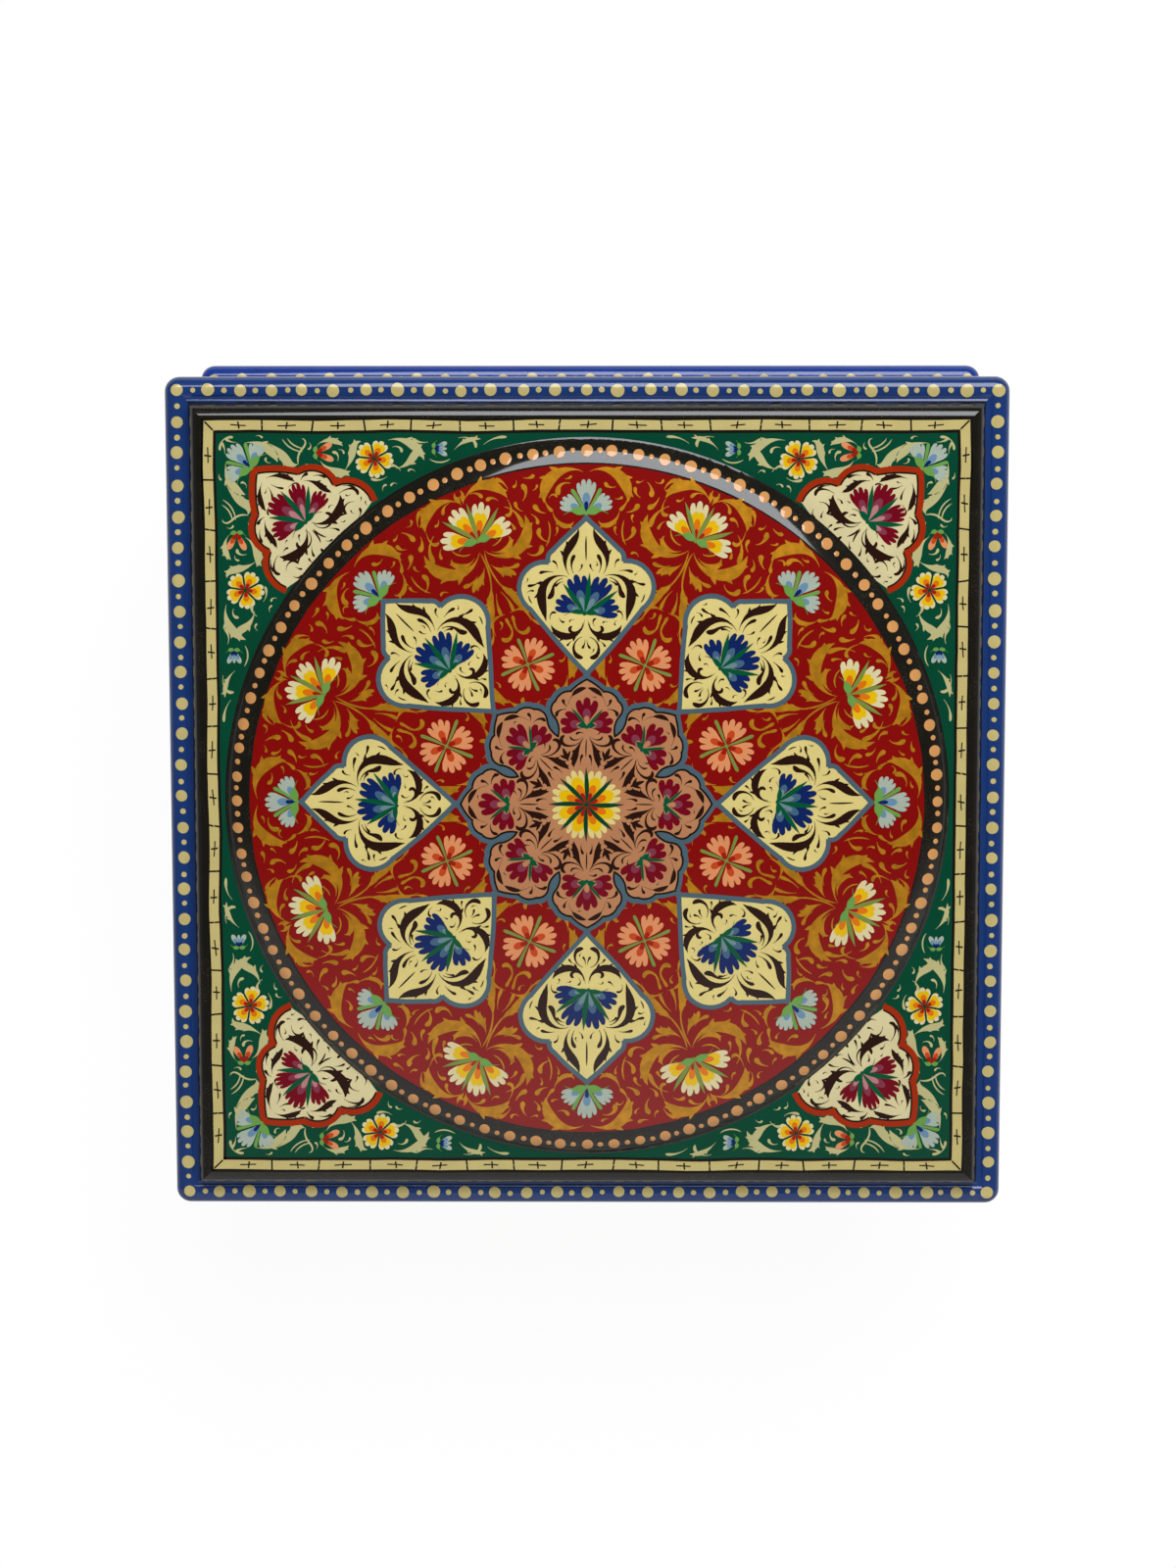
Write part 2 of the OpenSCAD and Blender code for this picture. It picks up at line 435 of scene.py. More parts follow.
@dataclass(frozen=True)
class Stroke:
    """One brush stroke, in millimetres.

    The path turns by bend degrees, to the left where that is positive, and the last part by curl more.
    """

    mark: Mark
    start: Point
    end: Point
    bend: float = 0.0
    width: float = 0.5
    curl: float = 0.0

    @property
    def length(self) -> float:
        """Distance between the ends, and more where the path turns."""
        straight = math.dist(self.start, self.end)
        arc_share = math.radians(abs(self.bend)) ** 2 / 24
        curl_share = abs(self.curl) / 500
        return straight * (1 + arc_share + curl_share)

    def profile(self) -> list[tuple[float, float]]:
        """Widths along the stroke.

        Returns:
            Share of the length, and the half width there.
        """
        turned = abs(self.bend) + abs(self.curl)
        fewest, most, per_mm, degrees_each = 6, 14, 1.2, 25
        steps = max(fewest, min(most, round(self.length * per_mm + turned / degrees_each)))
        shares = [step / steps for step in range(steps)]
        # A rounded end needs closer stations
        if self.mark in (Mark.COMMA, Mark.BLUNT):
            shares = [share for share in shares if share < 0.9] + [0.92, 0.965, 0.99]
        return [(share, max(HAIR, self.width * self.half(share))) for share in (*shares, 1.0)]

    def fingers(self) -> list["Stroke"]:
        """The blades that part from the outer side of a leaf and lean towards its tip.

        Returns:
            Their strokes, or none where the mark isn't a leaf.
        """
        if self.mark is not Mark.LEAF:
            return []
        narrow, short = 1.3, 11
        count = 2 if self.width < narrow else 3 if self.length < short else 4
        side = 1 if self.bend + self.curl < 0 else -1
        found = []
        stations = 20
        path = self.path([station / stations for station in range(stations + 1)])
        # They part between the 7th and the 15th station, and each leans less and is shorter than the one before
        for number in range(count):
            point, left = path[round(7 + 8 * number / (count - 1))]
            along = Vector((left.y, -left.x))
            way = Matrix.Rotation(side * math.radians(38 - 8 * number), 2) @ along
            reach = self.width * (0.95 + 0.22 * (number % 2)) * (1.1 - 0.1 * number)
            found.append(Stroke(Mark.BLADE, tuple(point), tuple(point + way * reach), side * 34, self.width * 0.36))
        return found

    def half(self, share: float) -> float:
        """Half width of the mark at a share of its length, as a share of its width."""
        # The powers make each swell and taper as its brush stroke does
        if self.mark is Mark.LEAF:
            stem = 0.07 * max(0.0, math.sin(math.pi * share)) ** 0.5
            return max(stem, 0.47 * max(0.0, math.sin(math.pi * share**1.5)) ** 1.1)
        if self.mark is Mark.COMMA:
            knob = math.sqrt(max(0.0, 1 - max(0.0, (share - 0.8) / 0.2) ** 2))
            return 0.5 * (0.12 + 0.88 * min(1.0, share / 0.8) ** 1.8) * knob
        if self.mark is Mark.BLADE:
            return 0.5 * max(0.0, math.sin(math.pi * share)) ** 0.9
        if self.mark is Mark.BLUNT:
            return 0.5 * share**0.45 * math.sqrt(max(0.0, 1 - max(0.0, (share - 0.88) / 0.12) ** 2))
        if self.mark is Mark.HORN:
            return 0.5 * max(0.12 * (1 - share) ** 0.3, math.sin(math.pi * min(1.0, share * 1.55)) ** 0.7)
        return 0.5 * max(0.0, math.sin(math.pi * share)) ** 0.45

    def path(self, stations: Sequence[float]) -> list[tuple[Vector, Vector]]:
        """Follows the stroke.

        Args:
            stations: shares of its length, rising from 0 to 1.

        Returns:
            Each station's point, and the unit vector to its left.
        """
        headings = [math.radians(self.bend * s + self.curl * max(0.0, 2 * s - 1) ** 2) for s in stations]
        points = [Vector((0.0, 0.0))]
        for one, two, before, after in zip(stations, stations[1:], headings, headings[1:]):
            way = (before + after) / 2
            points.append(points[-1] + (two - one) * Vector((math.cos(way), math.sin(way))))
        chord = Vector(self.end) - Vector(self.start)
        turn = math.atan2(chord.y, chord.x) - math.atan2(points[-1].y, points[-1].x)
        fit = Matrix.Rotation(turn, 2) * (chord.length / max(points[-1].length, 0.05))
        found = []
        for point, way in zip(points, headings):
            left = Vector((-math.sin(way + turn), math.cos(way + turn)))
            found.append((Vector(self.start) + fit @ point, left))
        return found


def strip(rails: Sequence[tuple[Vector, Vector]]) -> bmesh.types.BMesh:
    """Makes a flat strip between two rails.

    Args:
        rails: the left and right point of each cross line.

    Returns:
        A mesh of one row of faces.
    """
    mesh = bmesh.new()
    bmesh.ops.create_grid(mesh, x_segments=len(rails) - 1, y_segments=1, size=1)
    for vertex in mesh.verts:
        pair = rails[round((vertex.co.x + 1) / 2 * (len(rails) - 1))]
        vertex.co = pair[vertex.co.y < 0].to_3d()
    return mesh


def plate(outline: Sequence[Point]) -> bmesh.types.BMesh:
    """Makes a flat face from its outline, starting from a disc with as many corners."""
    mesh = bmesh.new()
    bmesh.ops.create_circle(mesh, cap_ends=True, segments=len(outline), radius=1)
    for vertex, point in zip(mesh.verts, outline):
        vertex.co = Vector(point).to_3d()
    return mesh


def arc(start: Point, end: Point, bulge: float, steps: int) -> list[Point]:
    """Points on an arc, without its end.

    Args:
        start: first point.
        end: last point, which is left out.
        bulge: height of the arc over half its chord, to the left of the way where positive.
        steps: number of points.

    Returns:
        The points in order.
    """
    if not bulge:
        return [start]
    chord = Vector(end) - Vector(start)
    angle = 4 * math.atan(bulge)
    points = []
    for step in range(steps):
        share = step / steps
        turn = Matrix.Rotation(angle / 2 * (1 - share), 2)
        points.append(tuple(Vector(start) + turn @ chord * (math.sin(angle * share / 2) / math.sin(angle / 2))))
    return points


def closed(right: Sequence[Point]) -> list[Point]:
    """Closes an outline whose right half is given, with its mirror image as the left half."""
    return [*right, *((-u, v) for u, v in reversed(right) if u > 1e-6)]


@dataclass(frozen=True)
class Outline:
    """Right half of a symmetric outline: points with the bulge of the arc that follows each."""

    half: tuple[Bulged, ...]
    steps: int = 7

    def right(self) -> list[Point]:
        """Points of the right half, with its last one."""
        points = []
        for (u, v, bulge), (next_u, next_v, _) in zip(self.half, self.half[1:]):
            points += arc((u, v), (next_u, next_v), bulge, self.steps)
        return points + [self.half[-1][:2]]

    def whole(self) -> list[Point]:
        """Points of the closed outline, with the left half mirrored."""
        return closed(self.right())

    def pieces(self) -> list[list[Point]]:
        """The stretches between the corners of both halves, each as its points."""
        found = []
        for (u, v, bulge), (next_u, next_v, _) in zip(self.half, self.half[1:]):
            points = arc((u, v), (next_u, next_v), bulge, self.steps) + [(next_u, next_v)]
            found += [points, [(-x, y) for x, y in points]]
        return found


class Canvas:
    """Flat shapes kept apart by paint, each at the height of its coat."""

    def __init__(self) -> None:
        """Starts empty."""
        self.meshes: dict[Paint, bmesh.types.BMesh] = {}
        self.shapes = 0

    def add(self, paint: Paint, layer: int, shape: bmesh.types.BMesh, place: Matrix | None = None) -> None:
        """Merges a shape into a paint's mesh.

        Args:
            paint: what it is painted with.
            layer: its coat.
            shape: a flat mesh, which is freed.
            place: where it goes, or None where it stands already.
        """
        height = LIFT + COAT * layer + STAGGER * (self.shapes % SHAPE_TURNS)
        bmesh.ops.translate(shape, vec=(0, 0, height), verts=shape.verts)
        self.shapes += 1
        if place:
            bmesh.ops.transform(shape, matrix=place, verts=shape.verts)
        held = bpy.data.meshes.new("held")
        shape.to_mesh(held)
        shape.free()
        self.meshes.setdefault(paint, bmesh.new()).from_mesh(held)
        bpy.data.meshes.remove(held)

    def stamp(self, motif: "Canvas", places: Iterable[Matrix]) -> None:
        """Repeats a motif.

        Args:
            motif: the canvas to copy from, which stays.
            places: where each copy goes.
        """
        places = list(places)
        for paint, shapes in motif.meshes.items():
            held = bpy.data.meshes.new("held")
            shapes.to_mesh(held)
            target = self.meshes.setdefault(paint, bmesh.new())
            for number, place in enumerate(places, self.shapes):
                known = len(target.verts)
                target.from_mesh(held)
                target.verts.ensure_lookup_table()
                raised = Matrix.Translation((0, 0, STAGGER * (number % STAMP_TURNS))) @ place
                bmesh.ops.transform(target, matrix=raised, verts=target.verts[known:])
            bpy.data.meshes.remove(held)
        self.shapes += len(places)

    def stroke(self, paint: Paint, layer: int, stroke: Stroke) -> None:
        """Paints one stroke."""
        profile = stroke.profile()
        rails = []
        for (_, half), (point, left) in zip(profile, stroke.path([share for share, _ in profile])):
            rails.append((point + left * half, point - left * half))
        self.add(paint, layer, strip(rails))
        for finger in stroke.fingers():
            self.stroke(paint, layer, finger)

    def strokes(self, paint: Paint, layer: int, strokes: Iterable[Stroke], mirrored: bool = True) -> None:
        """Paints strokes, and their mirror images where mirrored."""
        drawn = Canvas()
        for stroke in strokes:
            drawn.stroke(paint, layer, stroke)
        places = [Matrix()] + [Matrix.Diagonal((-1, 1, 1, 1))] * mirrored
        self.stamp(drawn, places)

    def ribbon(self, paint: Paint, layer: int, line: Sequence[Point], width: float, offset: float = 0.0) -> None:
        """Paints an even line along points.

        Args:
            paint: what it is painted with.
            layer: its coat.
            line: the points it follows.
            width: its width, by a share of which its ends overrun the points.
            offset: how far it lies to the right of them.
        """
        points = [Vector(point) for point in line]
        ways = [(after - before).normalized() for before, after in zip(points, points[1:])]
        overrun = 0.4
        points[0] -= ways[0] * width * overrun
        points[-1] += ways[-1] * width * overrun
        rails = []
        for point, before, after in zip(points, ways[:1] + ways, ways + ways[-1:]):
            way = (before + after).normalized()
            left = Vector((-way.y, way.x))
            rails.append((point + left * (width / 2 - offset), point - left * (width / 2 + offset)))
        self.add(paint, layer, strip(rails))

    def dot(self, paint: Paint, layer: int, centre: Point, radius: float, crown: float = 0.04) -> None:
        """Paints a round dot whose middle stands a little proud."""
        shape = bmesh.new()
        bmesh.ops.create_circle(shape, cap_ends=True, segments=16, radius=radius)
        middle = shape.faces[:]
        inset = 0.32
        for _ in range(2):
            bmesh.ops.inset_region(shape, faces=middle, thickness=radius * inset, use_boundary=True)
            middle = [face for face in shape.faces if len(face.verts) > 4]
        bmesh.ops.poke(shape, faces=middle)
        for vertex in shape.verts:
            vertex.co.z = crown * (1 - (vertex.co.length / radius) ** 2)
        self.add(paint, layer, shape, Matrix.Translation((*centre, 0)))


def inside(point: Vector, outline: Sequence[Point]) -> bool:
    """Whether a point lies inside a closed outline."""
    crossings = 0
    for (u0, v0), (u1, v1) in zip(outline, [*outline[1:], outline[0]]):
        if (v0 > point.y) != (v1 > point.y) and point.x < u0 + (point.y - v0) * (u1 - u0) / (v1 - v0):
            crossings += 1
    return crossings % 2 == 1


@dataclass(frozen=True)
class Curls:
    """Small curls that fill what other marks leave of a ground. Lengths in millimetres.

    Attributes:
        seed: gives the curls their chance turns.
        across: least and greatest u of the places that are tried.
        up: least and greatest v of them.
        tries: how many places are tried.
        size: length of the longest curl.
        width: its width.
        paint: what they are painted with.
        layer: their coat.
    """

    seed: str
    across: Point
    up: Point
    tries: int
    size: float
    width: float
    paint: Paint = Paint.BROWN
    layer: Layer = Layer.LINE

    def find(self, painted: Canvas, free: Callable[[Vector], bool]) -> list[Stroke]:
        """Finds room for curls between what is painted already.

        Args:
            painted: the marks that they keep clear of.
            free: says whether a point lies on the ground that the curls belong to.

        Returns:
            Their strokes.
        """
        hand = random.Random(self.seed)
        spots = [(hand.uniform(*self.across), hand.uniform(*self.up)) for _ in range(self.tries)]
        marks = [vertex.co.xy.to_3d() for mesh in painted.meshes.values() for vertex in mesh.verts]
        tree = KDTree(len(marks))
        for number, mark in enumerate(marks):
            tree.insert(mark, number)
        tree.balance()
        found: list[Stroke] = []
        taken: list[Vector] = []
        for spot in spots:
            for share in (1.0, 0.75, 0.5):
                way, bend = hand.uniform(0, 2 * math.pi), hand.choice((-1, 1)) * hand.uniform(50, 130)
                half = Vector((math.cos(way), math.sin(way))) * self.size * share / 2
                ends = [tuple(Vector(spot) + side * half) for side in (-1, 1)]
                stroke = Stroke(Mark.COMMA, *ends, bend, self.width * share, bend * 0.4)
                points = [point for point, _ in stroke.path((0.0, 0.25, 0.5, 0.75, 1.0))]
                if all(
                    free(point)
                    and tree.find(point.to_3d())[2] > MARK_GAP + self.width * share * 0.4
                    and all((point - other).length > CURL_GAP for other in taken)
                    for point in points
                ):
                    found.append(stroke)
                    taken += points
                    break
        return found

    def fill(self, canvas: Canvas, free: Callable[[Vector], bool], painted: Canvas | None = None) -> None:
        """Paints the curls.

        Args:
            canvas: where they go.
            free: says whether a point lies on the ground that the curls belong to.
            painted: the marks that they keep clear of, or None where these are the canvas's own.
        """
        canvas.strokes(self.paint, self.layer, self.find(painted or canvas, free), mirrored=False)


# --------------------------------------------------------------------------------------------- flowers


@dataclass(frozen=True)
class Tint:
    """One colour of a petal: its reach and spread as shares of the petal's, its lobes and the depth between them."""

    paint: Paint
    reach: float = 1.0
    spread: float = 1.0
    lobes: int = 1
    notch: float = 0.5


@dataclass(frozen=True)
class Flower:
    """A flower seen from the side, or from above where its petals go all round. Lengths in millimetres.

    A petal is (angle, reach, half spread in degrees), a leaf (angle, length), a calyx leaf (angle, length, bend).
    """

    petals: tuple[tuple[float, float, float], ...]
    tints: tuple[Tint, ...]
    leaves: tuple[tuple[float, float], ...] = ()
    leaf_paint: Paint = Paint.EMERALD
    leaf_mark: Mark = Mark.BLADE
    leaf_width: float = 1.2
    calyx: tuple[tuple[float, float, float], ...] = ()
    calyx_paint: Paint = Paint.EMERALD
    calyx_width: float = 1.5
    heart: float = 0.45

    @staticmethod
    def petal(reach: float, spread: float, tint: Tint) -> list[Point]:
        """Outline of one colour of a petal that opens along v.

        Args:
            reach: length of the petal.
            spread: half of its angle, in degrees.
            tint: the colour.

        Returns:
            Points from the base up the left side, over the lobes and down the right side.
        """
        long, wide = reach * tint.reach, math.radians(spread * tint.spread)
        parts = 6 * tint.lobes if tint.lobes > 1 else 8
        droop, roundness = 0.14, 0.45
        rim = []
        for part in range(parts + 1):
            side = 2 * part / parts - 1
            wave = abs(math.sin(math.pi * tint.lobes * part / parts)) ** roundness
            radius = long * (1 - droop * side * side) * (1 - tint.notch * (1 - wave))
            rim.append((radius * math.sin(wide * side), radius * math.cos(wide * side)))
        (left_u, left_v), (right_u, right_v) = rim[0], rim[-1]
        waist, slim = 0.5, 0.82
        base = [(0.2, 0.1 * long), (-0.2, 0.1 * long)]
        return [(right_u * waist * slim, right_v * waist), *base, (left_u * waist * slim, left_v * waist), *rim]

    def draw(self) -> Canvas:
        """Paints the flower with its base at the origin.

        Returns:
            A canvas of its own.
        """
        canvas = Canvas()
        for angle, reach, spread in self.petals:
            turn = Matrix.Rotation(-math.radians(angle), 4, "Z")
            for coat, tint in enumerate(self.tints):
                canvas.add(tint.paint, Layer.PETAL + coat, plate(self.petal(reach, spread, tint)), turn)
        for angle, length in self.leaves:
            way = math.radians(angle)
            tip = (length * math.sin(way), length * math.cos(way))
            canvas.stroke(self.leaf_paint, Layer.TOP, Stroke(self.leaf_mark, (0, 0), tip, 8, self.leaf_width))
        for angle, length, bend in self.calyx:
            way = math.radians(angle)
            tip = (length * math.sin(way), length * math.cos(way))
            canvas.stroke(self.calyx_paint, Layer.TOP, Stroke(Mark.HORN, (0, 0), tip, bend, self.calyx_width))
        if self.heart:
            canvas.dot(self.leaf_paint, Layer.TOP, (0, 0), self.heart, 0.02)
        return canvas


def ring(count: int, first: float, *sizes: float) -> tuple[tuple[float, ...], ...]:
    """Angles of the petals or leaves of a flower seen from above, each with the same sizes."""
    return tuple((number * 360 / count + first, *sizes) for number in range(count))


FAN_CALYX = ((-95, 4.8, 65), (103, 4.6, -65))

BLUE_CARNATION = Flower(
    petals=((-64, 7.5, 23), (-12, 9.8, 19), (31, 9.9, 19), (80, 8.2, 22)),
    tints=(
        Tint(Paint.NAVY, lobes=3, notch=0.22),
        Tint(Paint.STEEL, 0.6, 0.86),
        Tint(Paint.MIST, 0.42, 0.8),
    ),
    leaves=((-34, 8.8), (7, 9.9), (55, 9.4)),
    calyx=FAN_CALYX,
    calyx_width=1.2,
)
MAROON_CARNATION = Flower(
    petals=((-63, 8.6, 20), (-14, 10.2, 19), (29, 9.6, 16), (76, 8.4, 18)),
    tints=(
        Tint(Paint.MAROON, lobes=4, notch=0.17),
        Tint(Paint.PINK, 0.64, 0.84),
        Tint(Paint.BLUSH, 0.46, 0.8),
    ),
    leaves=((-38, 8.8), (5.5, 9.4), (49, 8.6)),
    calyx=FAN_CALYX,
)
YELLOW_CARNATION = Flower(
    petals=((-67, 8.8, 20), (-16, 9.6, 18), (29, 9.4, 18), (82, 9.2, 19)),
    tints=(
        Tint(Paint.IVORY, lobes=3, notch=0.2),
        Tint(Paint.YELLOW, 0.74, 0.92, 2, 0.08),
        Tint(Paint.ORANGE, 0.55, 0.86),
        Tint(Paint.RED, 0.3, 0.9),
    ),
    leaves=((-38, 9.6), (6, 9.3), (54, 9.4)),
    leaf_paint=Paint.OLIVE,
    leaf_width=1.1,
    calyx=((-98, 5.2, 66), (106, 4.8, -66)),
    calyx_paint=Paint.LEAF,
    calyx_width=1.9,
)
TIP_FLOWER = Flower(
    petals=((-60, 6.9, 23), (0, 8.1, 22), (60, 6.9, 23)),
    tints=(
        Tint(Paint.ICE, lobes=4, notch=0.17),
        Tint(Paint.SKY, 0.62, 0.86),
        Tint(Paint.NAVY, 0.36, 0.8),
    ),
    leaves=((-31, 6.8), (31, 6.8)),
    leaf_paint=Paint.LEAF,
    leaf_mark=Mark.BLUNT,
    leaf_width=1.0,
    calyx=((-92, 5.4, 70), (92, 5.4, -70)),
    calyx_paint=Paint.LEAF,
    calyx_width=2.1,
)
SALMON_CROSS = Flower(
    petals=ring(4, 45, 6.7, 34),
    tints=(
        Tint(Paint.SALMON_PETAL, lobes=4, notch=0.27),
        Tint(Paint.VERMILION, 0.6, 0.64),
        Tint(Paint.RED, 0.34, 0.8),
    ),
    leaves=ring(4, 0, 6.8),
    leaf_paint=Paint.OLIVE,
    leaf_mark=Mark.BLUNT,
    leaf_width=0.9,
)
MEDALLION_CARNATION = Flower(
    petals=((-77, 6.5, 34), (0, 7.1, 31), (77, 6.5, 34)),
    tints=(
        Tint(Paint.MAROON, lobes=3, notch=0.25),
        Tint(Paint.PINK, 0.62, 0.72, 1, 0.45),
        Tint(Paint.SALMON, 0.38, 0.8),
    ),
    leaves=((-40, 5.6), (41, 5.6)),
    leaf_mark=Mark.LINE,
    leaf_width=0.62,
    calyx=((-95, 3.1, 80), (95, 3.1, -80)),
    calyx_width=1.35,
)
CENTRE_FLOWER = Flower(
    petals=ring(8, 22.5, 8.9, 20),
    tints=(
        Tint(Paint.BUTTER, lobes=3, notch=0.22),
        Tint(Paint.YELLOW, 0.8, 0.96, 1, 0.28),
        Tint(Paint.ORANGE, 0.58, 0.84, 1, 0.4),
        Tint(Paint.RED, 0.34, 0.9),
    ),
    leaves=ring(8, 0, 9.0),
    leaf_paint=Paint.PINE,
    leaf_width=1.1,
    heart=0.5,
)
PANSY = Flower(
    petals=ring(5, 10, 4.7, 32),
    tints=(
        Tint(Paint.IVORY, lobes=3, notch=0.16),
        Tint(Paint.YELLOW, 0.84, 0.9, 2, 0.1),
        Tint(Paint.ORANGE, 0.62, 0.8),
        Tint(Paint.RED, 0.38, 0.8),
    ),
    leaves=ring(5, 46, 4.2),
    leaf_paint=Paint.PINE,
    leaf_mark=Mark.LINE,
    leaf_width=0.28,
)
RED_BUD = Flower(
    petals=((-24, 4.8, 17), (28, 4.6, 17)),
    tints=(
        Tint(Paint.SALMON_PETAL),
        Tint(Paint.VERMILION, 0.66, 1.1),
        Tint(Paint.RED, 0.4, 1.5),
    ),
    calyx=((-66, 2.4, -70), (66, 2.4, 70)),
    calyx_paint=Paint.LEAF,
    calyx_width=1.1,
    heart=0.0,
)
BLUE_BUD = Flower(
    petals=((-26, 3.6, 17), (0, 3.2, 12), (26, 3.6, 17)),
    tints=(
        Tint(Paint.ICE),
        Tint(Paint.SKY, 0.7, 1.0),
        Tint(Paint.NAVY, 0.42, 1.2),
    ),
    calyx=((-70, 2.2, -70), (70, 2.2, 70)),
    calyx_paint=Paint.LEAF,
    calyx_width=1.0,
    heart=0.0,
)


# ---------------------------------------------------------------------------------------------- motifs


def at(u: float, v: float, angle: float = 0.0) -> Matrix:
    """Place of a motif, turned clockwise by an angle in degrees and then moved."""
    return Matrix.Translation((u, v, 0)) @ Matrix.Rotation(-math.radians(angle), 4, "Z")


def around(count: int, radius: float, first: float = 0.0, turn: float = 0.0) -> list[Matrix]:
    """Places of a motif that is repeated round the origin and faces outwards.

    Args:
        count: how many there are.
        radius: their distance from the origin.
        first: angle of the first.
        turn: turn of each about itself.

    Returns:
        One transform each.
    """
    step = 360 / count
    return [
        Matrix.Rotation(-math.radians(first + step * number), 4, "Z") @ at(0, radius, turn) for number in range(count)
    ]


CARTOUCHE = Outline(
    (
        (0, 37.9, 0.03),
        (8.0, 30.2, 0.3),
        (9.2, 27.5, 0.42),
        (16.3, 21.2, 0.24),
        (13.6, 15.6, 0.02),
        (0, 0, 0),
    )
)
CARTOUCHE_STROKES = (
    Stroke(Mark.LEAF, (3.9, 24.1), (1.8, 35.2), 118, 2.1, -84),
    Stroke(Mark.COMMA, (2.9, 24.5), (2.6, 28.9), 70, 0.95),
    Stroke(Mark.COMMA, (1.9, 24.9), (1.0, 26.7), -70, 0.5),
    Stroke(Mark.COMMA, (6.7, 25.6), (7.9, 27.4), -60, 0.6, -60),
    Stroke(Mark.LEAF, (4.2, 23.7), (9.5, 12.9), -186, 2.4, 70),
    Stroke(Mark.COMMA, (5.4, 23.3), (9.2, 18.6), -120, 1.3, 130),
    Stroke(Mark.COMMA, (5.2, 22.5), (7.2, 21.3), -50, 0.65),
    Stroke(Mark.COMMA, (7.6, 24.8), (11.0, 24.5), -34, 0.8),
    Stroke(Mark.COMMA, (10.6, 22.7), (13.9, 21.5), 44, 0.75),
    Stroke(Mark.LINE, (13.7, 19.2), (12.9, 17.2), -35, 0.34),
    Stroke(Mark.LEAF, (0.4, 13.2), (8.3, 12.0), 160, 1.9),
    Stroke(Mark.COMMA, (0.8, 12.5), (3.2, 11.6), 150, 0.85, 130),
    Stroke(Mark.COMMA, (8.4, 13.2), (7.1, 14.9), 110, 0.6, 60),
    Stroke(Mark.COMMA, (3.2, 8.2), (4.4, 6.9), -44, 0.55),
    Stroke(Mark.COMMA, (0.9, 9.1), (0.8, 4.4), -140, 1.15, -40),
    Stroke(Mark.COMMA, (0.25, 8.5), (1.0, 6.4), 50, 0.6),
)
CARTOUCHE_VEIN = Stroke(Mark.LINE, (0, 27.4), (0, 33.4), 0, 0.42)
CARTOUCHE_CURLS = Curls("cartouche", (-15, 15), (3, 35), 400, 2.3, 0.7)

ROSETTE_BAND = ((0, 31.4, 0.06), (4.4, 28.5, 0.3), (8.4, 26.0, 0.28), (9.68, 23.37, 0))
ROSETTE_EDGE = (
    (0, 30.1, 0.1),
    (3.9, 27.3, 0.34),
    (7.4, 25.0, 0.42),
    (7.95, 21.4, -0.26),
    (6.85, 16.54, 0),
)
ROSETTE_STROKES = (
    Stroke(Mark.HORN, (0.2, 28.1), (4.5, 24.0), -76, 1.15),
    Stroke(Mark.COMMA, (4.7, 23.6), (5.6, 25.4), 70, 0.8),
    Stroke(Mark.COMMA, (4.9, 22.9), (7.1, 21.2), -80, 0.85, -60),
    Stroke(Mark.COMMA, (0.9, 16.5), (3.9, 16.6), 80, 0.5, 60),
    Stroke(Mark.COMMA, (0.7, 16.2), (5.2, 16.7), 120, 0.95, 120),
    Stroke(Mark.LEAF, (0.8, 15.9), (3.1, 9.0), -34, 1.7),
    Stroke(Mark.COMMA, (1.3, 9.6), (0.8, 12.2), 46, 0.7),
)
ROSETTE_VEIN = Stroke(Mark.LINE, (0, 11.6), (0, 16.0), 0, 0.34)
ROSETTE_PALMETTE = (
    Stroke(Mark.BLADE, (0.1, 11.4), (0.1, 14.9), 0, 0.8),
    Stroke(Mark.BLADE, (0.1, 11.8), (1.4, 13.6), -24, 0.65),
)
ROSETTE_CURLS = Curls("rosette", (-9, 9), (9, 29), 600, 1.9, 0.6, layer=Layer.EDGE)
RED_GROUND_CURLS = Curls("tendrils", (-30, 30), (31, 80), 2400, 3.6, 1.3, Paint.GOLD, Layer.SCROLL)

HEART_STROKES = (
    Stroke(Mark.LEAF, (0.6, -2.6), (13.0, 1.6), 150, 3.1),
    Stroke(Mark.COMMA, (9.0, 5.2), (11.4, -1.0), -70, 1.2),
    Stroke(Mark.COMMA, (8.6, 1.6), (9.4, -0.8), -60, 0.8),
    Stroke(Mark.LEAF, (2.2, -3.4), (7.4, -1.6), 100, 1.4, 60),
    Stroke(Mark.LINE, (2.8, -2.2), (6.6, 0.4), 80, 0.4),
    Stroke(Mark.LEAF, (0.5, 10.0), (10.6, 6.8), -132, 2.7),
    Stroke(Mark.COMMA, (10.4, 6.6), (8.6, 3.4), -60, 0.9, -120),
    Stroke(Mark.LEAF, (0.3, 9.4), (1.2, 12.0), -30, 1.1),
    Stroke(Mark.COMMA, (2.6, 11.0), (5.0, 9.0), -90, 0.9),
    Stroke(Mark.COMMA, (11.6, 8.6), (9.2, 11.4), 60, 1.2, 60),
    Stroke(Mark.LINE, (0.5, -3.0), (1.6, -12.4), 34, 0.45),
    Stroke(Mark.LEAF, (0.9, -6.2), (5.8, -10.6), 60, 1.9, -50),
    Stroke(Mark.COMMA, (3.4, -7.6), (7.4, -8.6), 60, 1.0),
    Stroke(Mark.LEAF, (1.1, -10.6), (3.6, -16.4), 40, 1.7, -60),
    Stroke(Mark.COMMA, (0.6, -13.0), (1.5, -18.4), -36, 0.9),
    Stroke(Mark.LEAF, (4.6, -22.4), (1.9, -13.6), 40, 1.9),
    Stroke(Mark.COMMA, (0.8, -23.4), (0.9, -19.2), -20, 0.8),
)
